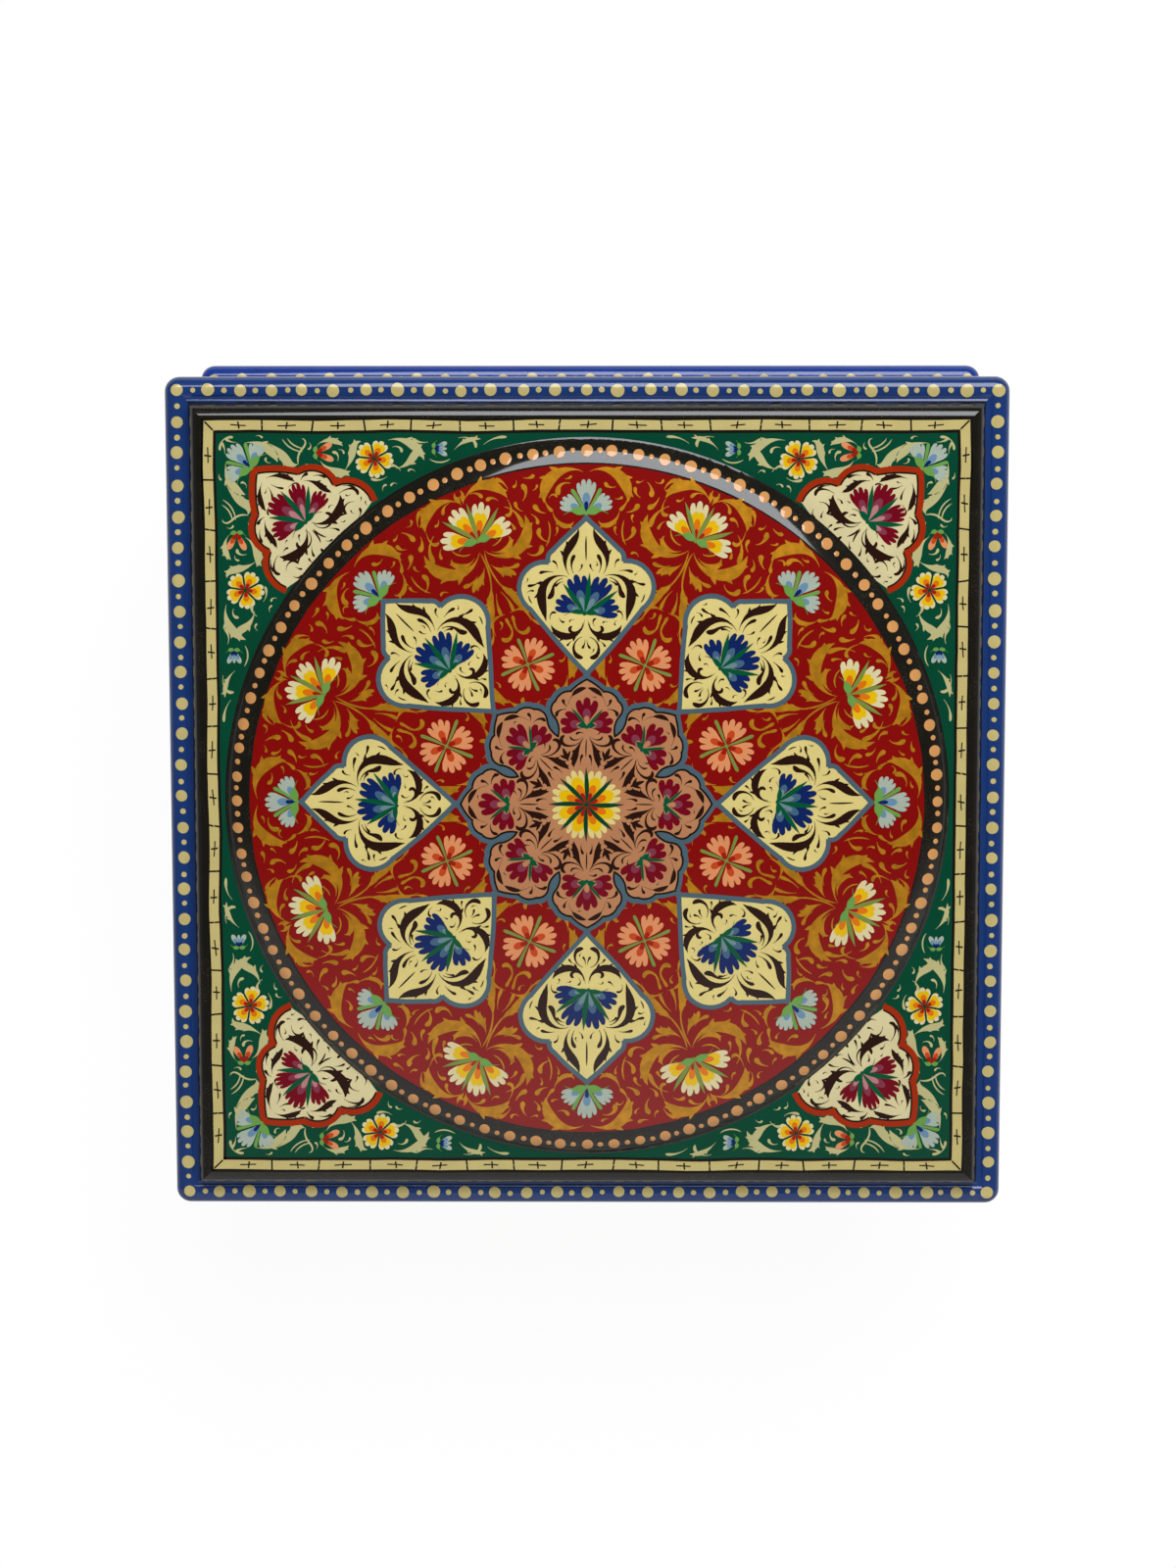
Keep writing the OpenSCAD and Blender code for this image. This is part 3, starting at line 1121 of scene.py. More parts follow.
CROWN_STROKES = (
    Stroke(Mark.LEAF, (0.8, 9.8), (9.9, 2.6), -128, 3.0),
    Stroke(Mark.COMMA, (9.8, 3.6), (7.9, 0.6), -50, 0.9),
    Stroke(Mark.LEAF, (8.0, 1.0), (3.0, -1.8), -100, 1.2, -60),
    Stroke(Mark.COMMA, (9.6, 0.2), (12.4, 2.2), 70, 1.3),
    Stroke(Mark.COMMA, (4.6, 11.0), (8.2, 9.6), 50, 0.9),
    Stroke(Mark.LINE, (9.4, -7.6), (9.0, -1.6), -50, 0.4),
    Stroke(Mark.COMMA, (8.6, -6.6), (10.8, -3.4), 80, 1.2, 60),
    Stroke(Mark.COMMA, (7.4, -5.2), (7.0, -3.0), -80, 0.7),
)
CELL_STROKES = (
    Stroke(Mark.LEAF, (0.6, 13.4), (8.9, 6.2), -100, 2.9),
    Stroke(Mark.COMMA, (4.8, 10.9), (7.6, 8.2), 70, 1.2, 60),
    Stroke(Mark.LEAF, (9.4, 5.2), (7.4, -6.8), -96, 2.9),
    Stroke(Mark.LEAF, (7.6, -5.8), (0.7, -10.6), -70, 2.2),
    Stroke(Mark.COMMA, (0.6, 11.2), (3.4, 8.4), 120, 1.1, 90),
    Stroke(Mark.COMMA, (0.6, -9.0), (3.8, -7.0), 110, 1.0, 90),
)

# Right half of a corner cartouche, from its tip down, and the point behind its cut end
CORNER_EDGE = (
    (0, 0, 0.1),
    (7.2, 7.3, 0.46),
    (11.6, 15.6, 0.42),
    (15.3, 24.8, 0),
)
CORNER_BACK = (0.0, -27.6)
CORNER_CURLS = Curls("corner", (-15, 15), (-3, -25), 500, 2.3, 0.7)
CORNER_STROKES = (
    Stroke(Mark.LEAF, (0.7, -3.2), (4.9, -8.6), -66, 1.4),
    Stroke(Mark.COMMA, (0.5, -5.0), (1.9, -7.8), 40, 0.6),
    Stroke(Mark.COMMA, (2.8, -8.4), (5.0, -9.8), -60, 0.5, -60),
    Stroke(Mark.COMMA, (6.2, -9.3), (8.6, -9.4), -60, 0.9),
    Stroke(Mark.LEAF, (6.6, -9.9), (9.4, -16.6), -76, 1.6, 60),
    Stroke(Mark.COMMA, (9.0, -10.6), (10.9, -13.2), -50, 0.7),
    Stroke(Mark.LEAF, (0.9, -18.2), (10.4, -18.4), 124, 2.4),
    Stroke(Mark.COMMA, (1.3, -18.4), (4.8, -19.0), 200, 0.9, 60),
    Stroke(Mark.COMMA, (10.4, -18.0), (13.2, -21.4), -70, 0.9, -90),
    Stroke(Mark.COMMA, (12.4, -17.4), (14.0, -20.0), -50, 0.7),
    Stroke(Mark.COMMA, (11.6, -22.0), (8.4, -22.8), 120, 0.8, 60),
    Stroke(Mark.COMMA, (3.0, -22.2), (4.4, -24.4), -40, 0.6),
    Stroke(Mark.LINE, (0.2, -19.6), (1.0, -23.2), 40, 0.45),
)
GARLAND_STROKES = (
    Stroke(Mark.LEAF, (7.0, 2.4), (14.6, 7.0), 78, 2.2),
    Stroke(Mark.LEAF, (12.2, 2.4), (19.4, 7.4), 60, 2.3, -120),
    Stroke(Mark.COMMA, (2.2, 5.0), (1.2, 2.2), -50, 0.7),
    Stroke(Mark.COMMA, (1.0, 2.6), (4.2, 1.0), 70, 0.7),
    Stroke(Mark.LINE, (15.8, 1.4), (20.6, 4.4), -60, 0.35),
    Stroke(Mark.LINE, (17.0, 1.2), (20.9, 3.6), -60, 0.35),
    Stroke(Mark.LINE, (19.6, 7.5), (20.4, 1.2), 110, 0.5, -190),
    Stroke(Mark.LEAF, (24.2, 2.6), (30.2, 3.0), 84, 1.5),
    Stroke(Mark.LEAF, (24.8, 6.6), (32.0, 9.2), -80, 2.3),
    Stroke(Mark.LEAF, (30.6, 9.0), (34.6, 2.0), -60, 1.9, 120),
    Stroke(Mark.COMMA, (21.2, 7.4), (23.4, 8.4), 40, 0.6),
    Stroke(Mark.COMMA, (40.6, 10.6), (36.8, 11.0), 70, 0.7),
    Stroke(Mark.LEAF, (42.8, 8.6), (49.0, 3.2), -90, 2.0, 60),
    Stroke(Mark.LEAF, (41.0, 1.8), (49.6, 6.6), 84, 2.2),
    Stroke(Mark.COMMA, (44.0, 9.2), (41.0, 8.0), -80, 0.9),
    Stroke(Mark.COMMA, (50.6, 2.2), (46.8, 1.4), 60, 0.8),
    Stroke(Mark.LEAF, (57.0, 4.0), (63.4, 1.2), 60, 1.2),
    Stroke(Mark.COMMA, (58.0, 1.0), (62.0, 3.4), 80, 0.8, 60),
    Stroke(Mark.LINE, (51.0, 6.4), (56.0, 6.2), -70, 0.35),
    Stroke(Mark.COMMA, (64.0, 2.6), (69.4, 1.0), 50, 0.7),
)


class Motifs:
    """The motifs that more than one area uses, each painted once."""

    def __init__(self) -> None:
        """Paints them all."""
        self.cartouche = self.paint_cartouche()
        self.tip = TIP_FLOWER.draw()
        self.tip.strokes(Paint.GOLD, Layer.SCROLL, CROWN_STROKES)
        self.heart = YELLOW_CARNATION.draw()
        self.heart.strokes(Paint.GOLD, Layer.SCROLL, HEART_STROKES)
        self.cell = Canvas()
        self.cell.stamp(SALMON_CROSS.draw(), [Matrix()])
        self.cell.strokes(Paint.GOLD, Layer.SCROLL, CELL_STROKES)

    @staticmethod
    def paint_cartouche() -> Canvas:
        """Paints a cream cartouche with its inner tip at the origin and a blue carnation in it.

        Returns:
            Its canvas.
        """
        canvas = Canvas()
        canvas.add(Paint.BUTTER, Layer.FILL, plate(CARTOUCHE.whole()))
        for piece in CARTOUCHE.pieces():
            side = 1 if max(piece[0][0], piece[-1][0]) > 0 else -1
            canvas.ribbon(Paint.BAND, Layer.EDGE, piece, 1.15, side * 0.3)
        canvas.strokes(Paint.BROWN, Layer.LINE, CARTOUCHE_STROKES)
        canvas.stroke(Paint.BROWN, Layer.LINE, CARTOUCHE_VEIN)
        canvas.stamp(BLUE_CARNATION.draw(), [at(-0.4, 14.7)])
        within = [(u * 0.93, 0.9 + v * 0.935) for u, v in CARTOUCHE.whole()]
        CARTOUCHE_CURLS.fill(canvas, lambda point: inside(point, within))
        return canvas


# -------------------------------------------------------------------------------------------- grounds


# Reach and length in millimetres of the slow and the quick wavers of the painter's hand
WAVERS = ((0.35, 18.0), (0.1, 4.5))
# Angle at which an edge of the paint shows as sharp
SHARP = math.radians(30)


def wobble(u: float, v: float, seed: float) -> Point:
    """Moves a point as an unsteady hand would.

    Args:
        u: distance across, in millimetres.
        v: distance up, in millimetres.
        seed: a number of the ground's own.

    Returns:
        The moved point.
    """
    moved = [u, v]
    for reach, length in WAVERS:
        for axis in (0, 1):
            spot = Vector((u / length, v / length, seed + 7.3 * axis + length))
            moved[axis] += reach * noise.noise(spot)
    return moved[0], moved[1]


@dataclass(frozen=True)
class Ground:
    """A surface that ornament is draped over.

    Attributes:
        name: first part of its pieces' names.
        body: the body that its pieces ride on.
        slot: a material slot's name, which is not used.
        place: gives a point's place in metres from (u, v, lift) in millimetres.
        grid: width of the squares that wide shapes are cut into, in millimetres.
    """

    name: str
    body: str
    slot: str
    place: Callable[[float, float, float], Vector]
    grid: float = 4.0

    def cut(self, mesh: bmesh.types.BMesh) -> None:
        """Cuts wide faces along a square grid, so that they can bend with the ground."""
        near = 1e-4
        for axis in (0, 1):
            wide = [face for face in mesh.faces if face.calc_area() > self.grid**2 / 2]
            if not wide:
                return
            spots = [vertex.co[axis] for face in wide for vertex in face.verts]
            normal = [0.0, 0.0, 0.0]
            normal[axis] = 1.0
            line = math.ceil(min(spots) / self.grid) * self.grid

            def crosses(face: bmesh.types.BMFace) -> bool:
                """Whether a large face reaches past the line on both sides."""
                low, high = min(v.co[axis] for v in face.verts), max(v.co[axis] for v in face.verts)
                return low < line - near and line + near < high and face.calc_area() > self.grid

            while line < max(spots):
                faces = [face for face in mesh.faces if crosses(face)]
                edges = {edge for face in faces for edge in face.edges}
                corners = {vertex for face in faces for vertex in face.verts}
                spot = [0.0, 0.0, 0.0]
                spot[axis] = line
                bmesh.ops.bisect_plane(mesh, geom=[*faces, *edges, *corners], dist=1e-5, plane_co=spot, plane_no=normal)
                line += self.grid

    def drape(self, canvas: Canvas) -> None:
        """Makes a thin closed piece of each paint on the canvas.

        Args:
            canvas: flat shapes in millimetres, which are used up.
        """
        for paint, mesh in canvas.meshes.items():
            self.cut(mesh)
            made = bmesh.ops.extrude_face_region(mesh, geom=mesh.faces[:], use_keep_orig=True)
            for part in made["geom"]:
                if isinstance(part, bmesh.types.BMVert):
                    part.co.z = -SINK
            for vertex in mesh.verts:
                u, v = wobble(vertex.co.x, vertex.co.y, len(self.name))
                vertex.co = self.place(u, v, vertex.co.z)
            self.finish(mesh, paint)

    def finish(self, mesh: bmesh.types.BMesh, paint: Paint) -> None:
        """Turns a draped mesh into a piece of the box.

        Args:
            mesh: the closed mesh, in metres, which is freed.
            paint: its finish.
        """
        bmesh.ops.recalc_face_normals(mesh, faces=mesh.faces[:])
        for face in mesh.faces:
            face.smooth = True
        for edge in mesh.edges:
            edge.smooth = edge.calc_face_angle(0.0) < SHARP
        name = f"{self.name}_{paint.name.lower()}"
        data = bpy.data.meshes.new(name)
        mesh.to_mesh(data)
        mesh.free()
        data.materials.append(paint.value.material())
        piece = bpy.data.objects.new(name, data)
        bpy.context.scene.collection.objects.link(piece)
        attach(piece, self.body)
        log.info("painted %s with %d faces", name, len(data.polygons))


# ---------------------------------------------------------------------------------------- the box


@dataclass(frozen=True)
class Moulding:
    """The flange, cove and step round the lid or the plinth. Sizes in millimetres.

    Attributes:
        name: first part of its pieces' names.
        body: the body that it belongs to.
        nodes: its four CAD lengths.
        crown: height of the flange's top.
        half: half width over the flange.
        blue: the flange's paint.
        edge: radius of the flange's rounded edge.
        dot_inset: distance of the row of dots from the flange's edge.
        dots: number of large dots along each side.
        big: radius of a large dot.
        small: radius of the small dot that follows each.
    """

    name: str
    body: str
    nodes: tuple[str, ...]
    crown: float
    half: float
    blue: Rgb
    edge: float = 2.8
    dot_inset: float = 3.1
    dots: int = 26
    big: float = 1.5
    small: float = 0.66

    def surface(self, u: float, v: float, lift: float) -> Vector:
        """Place on top of the flange, whose edge is rounded."""
        inset = self.half - max(abs(u), abs(v))
        drop = self.edge - math.sqrt(max(0.0, self.edge**2 - max(0.0, self.edge - inset) ** 2))
        return Vector((u, v, self.crown - drop + lift)) * MM

    def dress(self) -> None:
        """Gives the moulding its finish and its row of dots."""
        finish = MouldingPaint(f"{self.name}_lacquer", self.blue, half=self.half * MM, drift=0.16)
        for node in self.nodes:
            put_on(node, finish)
        hand = random.Random(self.name)
        reach = self.half - self.dot_inset
        canvas = Canvas()
        for side in range(4):
            turn = Matrix.Rotation(math.radians(90 * side), 2)
            for number in range(2 * self.dots):
                radius = (self.small if number % 2 else self.big) * hand.uniform(0.92, 1.08)
                along = -reach + reach * number / self.dots + hand.uniform(-0.28, 0.28)
                spot = turn @ Vector((along, -reach + hand.uniform(-0.14, 0.14)))
                canvas.dot(Paint.CREAM, Layer.FILL, tuple(spot), radius)
        Ground(self.name, self.body, "blue_lacquer", self.surface).drape(canvas)


@dataclass(frozen=True)
class Border:
    """A cream border with a black line on either side, and crosses and dashes along it. Millimetres.

    Attributes:
        half_u: half width over the border.
        half_v: half height over it.
        width: of the cream band.
        line: width of the black line inside it.
        shade: width of the black line outside it.
        pitch: distance from one cross to the next.
    """

    half_u: float
    half_v: float
    width: float = 2.35
    line: float = 0.7
    shade: float = 1.1
    pitch: float = 12.0

    def draw(self) -> Canvas:
        """Paints the border round the origin.

        Returns:
            Its canvas.
        """
        canvas = Canvas()
        for side in range(4):
            across, along = (self.half_v, self.half_u) if side % 2 == 0 else (self.half_u, self.half_v)
            place = Matrix.Rotation(math.radians(90 * side), 4, "Z")
            drawn = Canvas()
            inner, outer = across - self.width, across
            ends = [(-along + self.width, -inner), (-along, -outer), (along, -outer), (along - self.width, -inner)]
            drawn.add(Paint.CREAM, Layer.FILL, plate(ends))
            corner = along - self.width - self.line / 2
            rail = [(-corner, -inner + self.line / 2), (corner, -inner + self.line / 2)]
            drawn.ribbon(Paint.BLACK, Layer.EDGE, rail, self.line)
            drawn.ribbon(Paint.BLACK, Layer.SCROLL, [(-along, -outer - 0.1), (along, -outer - 0.1)], self.shade)
            self.draw_marks(drawn, along, across)
            canvas.stamp(drawn, [place])
        return canvas

    def draw_marks(self, canvas: Canvas, along: float, across: float) -> None:
        """Paints the crosses and dashes of the lower side.

        Args:
            canvas: where they go.
            along: half length of the side.
            across: distance of its outer edge from the origin.
        """
        hand = random.Random(round(along * 10))
        count = round(2 * (along - self.width) / self.pitch)
        step = 2 * (along - self.width) / count
        low, high = -across, -across + self.width
        middle = (low + high) / 2
        for number in range(count):
            u = -along + self.width + step * number + hand.uniform(-0.4, 0.4)
            if number:
                lean, gap = hand.uniform(-0.35, 0.35), hand.uniform(0.15, 0.35)
                dashes = (
                    [(u, low + 0.15), (u + lean / 2, middle - gap)],
                    [(u + lean / 2, middle + gap * 0.6), (u + lean, high - 0.1)],
                )
                for dash in dashes:
                    canvas.ribbon(Paint.BLACK, Layer.LINE, dash, 0.42)
            u += step / 2 + hand.uniform(-0.4, 0.4)
            arm, tilt = hand.uniform(1.5, 2.1), hand.uniform(-0.14, 0.14)
            spot = u + hand.uniform(-0.3, 0.3)
            arms = [(u - arm, middle - tilt), (spot, middle + 0.04), (u + arm, middle + tilt)]
            canvas.ribbon(Paint.BLACK, Layer.EDGE, arms, 0.3)
            canvas.ribbon(Paint.BLACK, Layer.RIM, [(spot - tilt, low + 0.45), (spot + tilt, high - 0.5)], 0.38)
        mitre = [(-along + 0.3, low + 0.3), (-along + self.width - 0.2, high - 0.2)]
        canvas.ribbon(Paint.BLACK, Layer.EDGE, mitre, 0.4)


@dataclass(frozen=True)
class Panel:
    """The lid's square panel, with its border, corner cartouches and garlands on green. Millimetres.

    Attributes:
        half: half width of the box over its flange.
        top: height of the panel.
        border_inset: distance from the flange's edge in to the border.
        field_inset: distance from the flange's edge in to the green field.
        tip: distance of a corner cartouche's tip from the field's corner.
        carnation: distance of its carnation from its tip.
        flower: distance of the flower on its tip from the field's corner.
        medallion: radius within which the medallion leaves no room for curls.
    """

    half: float
    top: float
    border_inset: float = 10.0
    field_inset: float = 13.05
    tip: float = 12.9
    carnation: float = 17.2
    flower: float = 12.0
    medallion: float = 88.6

    def surface(self, u: float, v: float, lift: float) -> Vector:
        """Place on the flat panel."""
        return Vector((u, v, self.top + lift)) * MM

    def corner(self) -> Canvas:
        """Paints one corner with its diagonal along v, and its point at the inner line's corner.

        Returns:
            Its canvas.
        """
        outline = Outline(tuple((u, -v, bulge) for u, v, bulge in CORNER_EDGE))
        local = Canvas()
        whole = closed([*outline.right(), CORNER_BACK])
        local.add(Paint.IVORY, Layer.FILL, plate(whole))
        for piece in outline.pieces():
            side = 1 if piece[-1][0] > 0 else -1
            local.ribbon(Paint.RUST, Layer.EDGE, piece, 1.5, side * -0.1)
            if not piece[0][0]:
                piece = [tuple((Vector(piece[0]) + Vector(piece[1])) / 2), *piece[1:]]
            local.ribbon(Paint.BLACK, Layer.RIM, piece, 0.42, side * 0.75)
        local.strokes(Paint.BROWN, Layer.LINE, CORNER_STROKES)
        local.stamp(MAROON_CARNATION.draw(), [at(0, -self.carnation)])
        within = [(u * 0.88, v * 0.94 - 1.6) for u, v in whole]
        CORNER_CURLS.fill(local, lambda point: inside(point, within))
        canvas = Canvas()
        canvas.stamp(local, [at(0, -self.tip)])
        canvas.stamp(TIP_FLOWER.draw(), [at(0, -self.flower) @ Matrix.Scale(0.92, 4)])
        return canvas

    def garland(self, corner: Canvas, field: float) -> Canvas:
        """Paints half a side, with u along the inner line from the corner and v away from it.

        Args:
            corner: the corner's canvas, which the curls keep clear of.
            field: distance of the inner line from the origin.

        Returns:
            Its canvas.
        """
        canvas = Canvas()
        canvas.strokes(Paint.SCROLL_CREAM, Layer.SCROLL, GARLAND_STROKES, mirrored=False)
        canvas.stamp(RED_BUD.draw(), [at(23.6, 4.6, 90)])
        canvas.stamp(PANSY.draw(), [at(37.6, 6.3)])
        canvas.stamp(BLUE_BUD.draw(), [at(52.0, 3.8, 90)])
        painted = Canvas()
        painted.stamp(canvas, [Matrix()])
        painted.stamp(corner, [at(0, 0, 225)])
        # The corner cartouche, a little larger all round so that the curls keep off its edge
        tip, behind, spread, margin = 11.6, 30.0, 1.06, 0.6
        cream = closed([(u * spread, v) for u, v in Outline(CORNER_EDGE).right()] + [(0.0, behind)])

        def free(point: Vector) -> bool:
            """Whether a point lies on the green ground of this half side."""
            along, across = (point.x + point.y) / math.sqrt(2), (point.x - point.y) / math.sqrt(2)
            return (
                math.hypot(field - point.x, field - point.y) > self.medallion
                and margin < point.y < point.x < field - 0.5
                and not inside(Vector((across, along - tip)), cream)
            )

        curls = Curls("garland", (0, field), (0, 22), 900, 3.2, 1.05, Paint.SCROLL_CREAM, Layer.SCROLL)
        curls.fill(canvas, free, painted)
        return canvas

    def dress(self) -> None:
        """Gives the panel its green ground and its ornament."""
        put_on("lid_panel", Lacquer("panel_lacquer", (3, 74, 50), drift=0.15, patch=0.012))
        edge = self.half - self.border_inset
        canvas = Border(edge, edge).draw()
        field = self.half - self.field_inset
        corner = self.corner()
        garland = self.garland(corner, field)
        for quarter in range(4):
            turn = Matrix.Rotation(math.radians(90 * quarter), 4, "Z")
            canvas.stamp(corner, [turn @ at(field, field, 45)])
            down = turn @ Matrix.Translation((-field, field, 0)) @ Matrix.Diagonal((1, -1, 1, 1))
            swap = Matrix(((0, 1, 0, 0), (1, 0, 0, 0), (0, 0, 1, 0), (0, 0, 0, 1)))
            canvas.stamp(garland, [down, down @ swap])
        Ground("panel", "lid", "green_lacquer", self.surface).drape(canvas)


@dataclass(frozen=True)
class Medallion:
    """The domed disc on the lid. Millimetres, and degrees.

    Attributes:
        crown: height of the dome's middle.
        edge: radius at which the dome passes into its rounded rim.
        rise: height of the middle over that edge.
        rim: radius of the rim's roundness.
        crease: angle between dome and rim where they meet.
        red: radius of the red ground.
        ring: radius of the ring of dots.
        ring_dots: number of its large dots, each followed by a small one.
        big: radius of a large dot.
        small: radius of a small dot.
        lobes: number of lobes of the rosette, and of each motif round it.
        rosette: distance of the cartouches' inner tips from the middle.
        carnation_at: the same for the carnations in the rosette's lobes.
        tip_at: the same for the flowers at the cartouches' outer tips.
        heart_at: the same for the yellow carnations.
        cell_at: the same for the salmon crosses.
        centre_reach: radius of the middle flower with the room round it.
    """

    crown: float
    edge: float = 81.6
    rise: float = 3.9
    rim: float = 8.3
    crease: float = 4.0
    red: float = 81.2
    ring: float = 84.5
    ring_dots: int = 84
    big: float = 1.4
    small: float = 0.66
    lobes: int = 8
    rosette: float = 31.0
    carnation_at: float = 18.8
    tip_at: float = 69.6
    heart_at: float = 68.0
    cell_at: float = 36.3
    centre_reach: float = 10.4

    def surface(self, u: float, v: float, lift: float) -> Vector:
        """Place on the dome or its rounded rim."""
        away = math.hypot(u, v)
        ball = (self.edge**2 + self.rise**2) / (2 * self.rise)
        if away <= self.edge:
            height = self.crown - ball + math.sqrt(ball**2 - away**2)
        else:
            slope = math.asin(self.edge / ball) + math.radians(self.crease)
            centre = self.edge - self.rim * math.sin(slope)
            low = self.crown - self.rise - self.rim * math.cos(slope)
            height = low + math.sqrt(max(0.0, self.rim**2 - (away - centre) ** 2))
        return Vector((u, v, height + lift)) * MM

    def ring_outline(self, half: tuple[Bulged, ...]) -> list[list[Point]]:
        """Repeats half a lobe all round the origin, mirrored.

        Args:
            half: points of the right half lobe from its tip, with bulges.

        Returns:
            The stretches of the closed outline, in clockwise order.
        """
        right = Outline(half, 6).pieces()[::2]
        left = [[(-u, v) for u, v in reversed(stretch)] for stretch in reversed(right)]
        stretches = []
        for lobe in range(self.lobes):
            turn = Matrix.Rotation(-math.radians(360 / self.lobes * lobe), 2)
            stretches += [[tuple(turn @ Vector(point)) for point in stretch] for stretch in left + right]
        return stretches

    def paint_rosette(self) -> Canvas:
        """Paints the salmon rosette in the middle.

        Returns:
            Its canvas.
        """
        canvas = Canvas()
        band = self.ring_outline(ROSETTE_BAND)
        canvas.add(Paint.BAND, Layer.FILL, plate([point for stretch in band for point in stretch[:-1]]))
        edge = self.ring_outline(ROSETTE_EDGE)
        canvas.add(Paint.SALMON, Layer.LINE, plate([point for stretch in edge for point in stretch[:-1]]))
        for stretch in edge:
            canvas.ribbon(Paint.BLACK, Layer.RIM, stretch, 0.45)
        canvas.stamp(MEDALLION_CARNATION.draw(), around(self.lobes, self.carnation_at))
        scrolls = Canvas()
        scrolls.strokes(Paint.BROWN, Layer.EDGE, ROSETTE_STROKES)
        scrolls.stroke(Paint.BROWN, Layer.EDGE, ROSETTE_VEIN)
        canvas.stamp(scrolls, around(self.lobes, 0))
        palmette = Canvas()
        palmette.strokes(Paint.BROWN, Layer.EDGE, ROSETTE_PALMETTE)
        canvas.stamp(palmette, around(self.lobes, 0, 180 / self.lobes))
        canvas.stamp(self.paint_curls(canvas), around(self.lobes, 0))
        canvas.stamp(CENTRE_FLOWER.draw(), [Matrix()])
        return canvas

    def paint_curls(self, painted: Canvas) -> Canvas:
        """Paints the small brown curls that fill one lobe of the rosette.

        Args:
            painted: the rosette with everything but its middle flower.

        Returns:
            A canvas of the curls.
        """
        lobe = closed([(u * 0.9, v - 0.6) for u, v in Outline(ROSETTE_EDGE).right()] + [(0.0, 0.0)])

        def free(point: Vector) -> bool:
            """Whether a point lies on the salmon ground of this lobe."""
            return point.length > self.centre_reach and inside(point, lobe)

        curls = Canvas()
        ROSETTE_CURLS.fill(curls, free, painted)
        return curls

    def paint_tendrils(self, painted: Canvas) -> Canvas:
        """Paints the small gold curls that fill the red ground of one eighth.

        Args:
            painted: the medallion with everything else on it.

        Returns:
            A canvas of the curls.
        """
        cartouche = [(u * 1.06, v * 1.03 + self.rosette - 0.5) for u, v in CARTOUCHE.whole()]
        # The tangent of an eighth's half angle is 0.414
        near, far, widest = self.rosette + 1.6, self.red - 1.2, 0.41

        def free(point: Vector) -> bool:
            """Whether a point lies on the red ground of this eighth."""
            tangent = abs(point.x) / max(point.y, 1.0)
            return near < point.length < far and tangent < widest and not inside(point, cartouche)

        curls = Canvas()
        RED_GROUND_CURLS.fill(curls, free, painted)
        return curls

    def paint_ring(self) -> Canvas:
        """Paints the dots on the black rim.

        Returns:
            Its canvas.
        """
        hand = random.Random("ring")
        canvas = Canvas()
        for number in range(2 * self.ring_dots):
            way = math.pi * (number + hand.uniform(-0.1, 0.1)) / self.ring_dots
            radius = (self.small if number % 2 else self.big) * hand.uniform(0.9, 1.06)
            out = self.ring + hand.uniform(-0.12, 0.12)
            canvas.dot(Paint.DOT, Layer.EDGE, (out * math.sin(way), out * math.cos(way)), radius, 0.1)
        return canvas

    def dress(self, motifs: Motifs) -> None:
        """Gives the medallion its red and black grounds and its ornament.

        Args:
            motifs: the shared motifs.
        """
        finish = RoundPaint("medallion_lacquer", RED_GROUND, radius=self.red * MM, drift=0.14, patch=0.02)
        put_on("lid_medallion", finish)
        canvas = self.paint_rosette()
        between = 180 / self.lobes
        canvas.stamp(motifs.cartouche, around(self.lobes, self.rosette))
        canvas.stamp(motifs.tip, around(self.lobes, self.tip_at))
        canvas.stamp(motifs.heart, around(self.lobes, self.heart_at, between))
        canvas.stamp(motifs.cell, around(self.lobes, self.cell_at, between))
        canvas.stamp(self.paint_tendrils(canvas), around(self.lobes, 0))
        canvas.stamp(self.paint_ring(), [Matrix()])
        Ground("medallion", "lid", "red_lacquer", self.surface).drape(canvas)


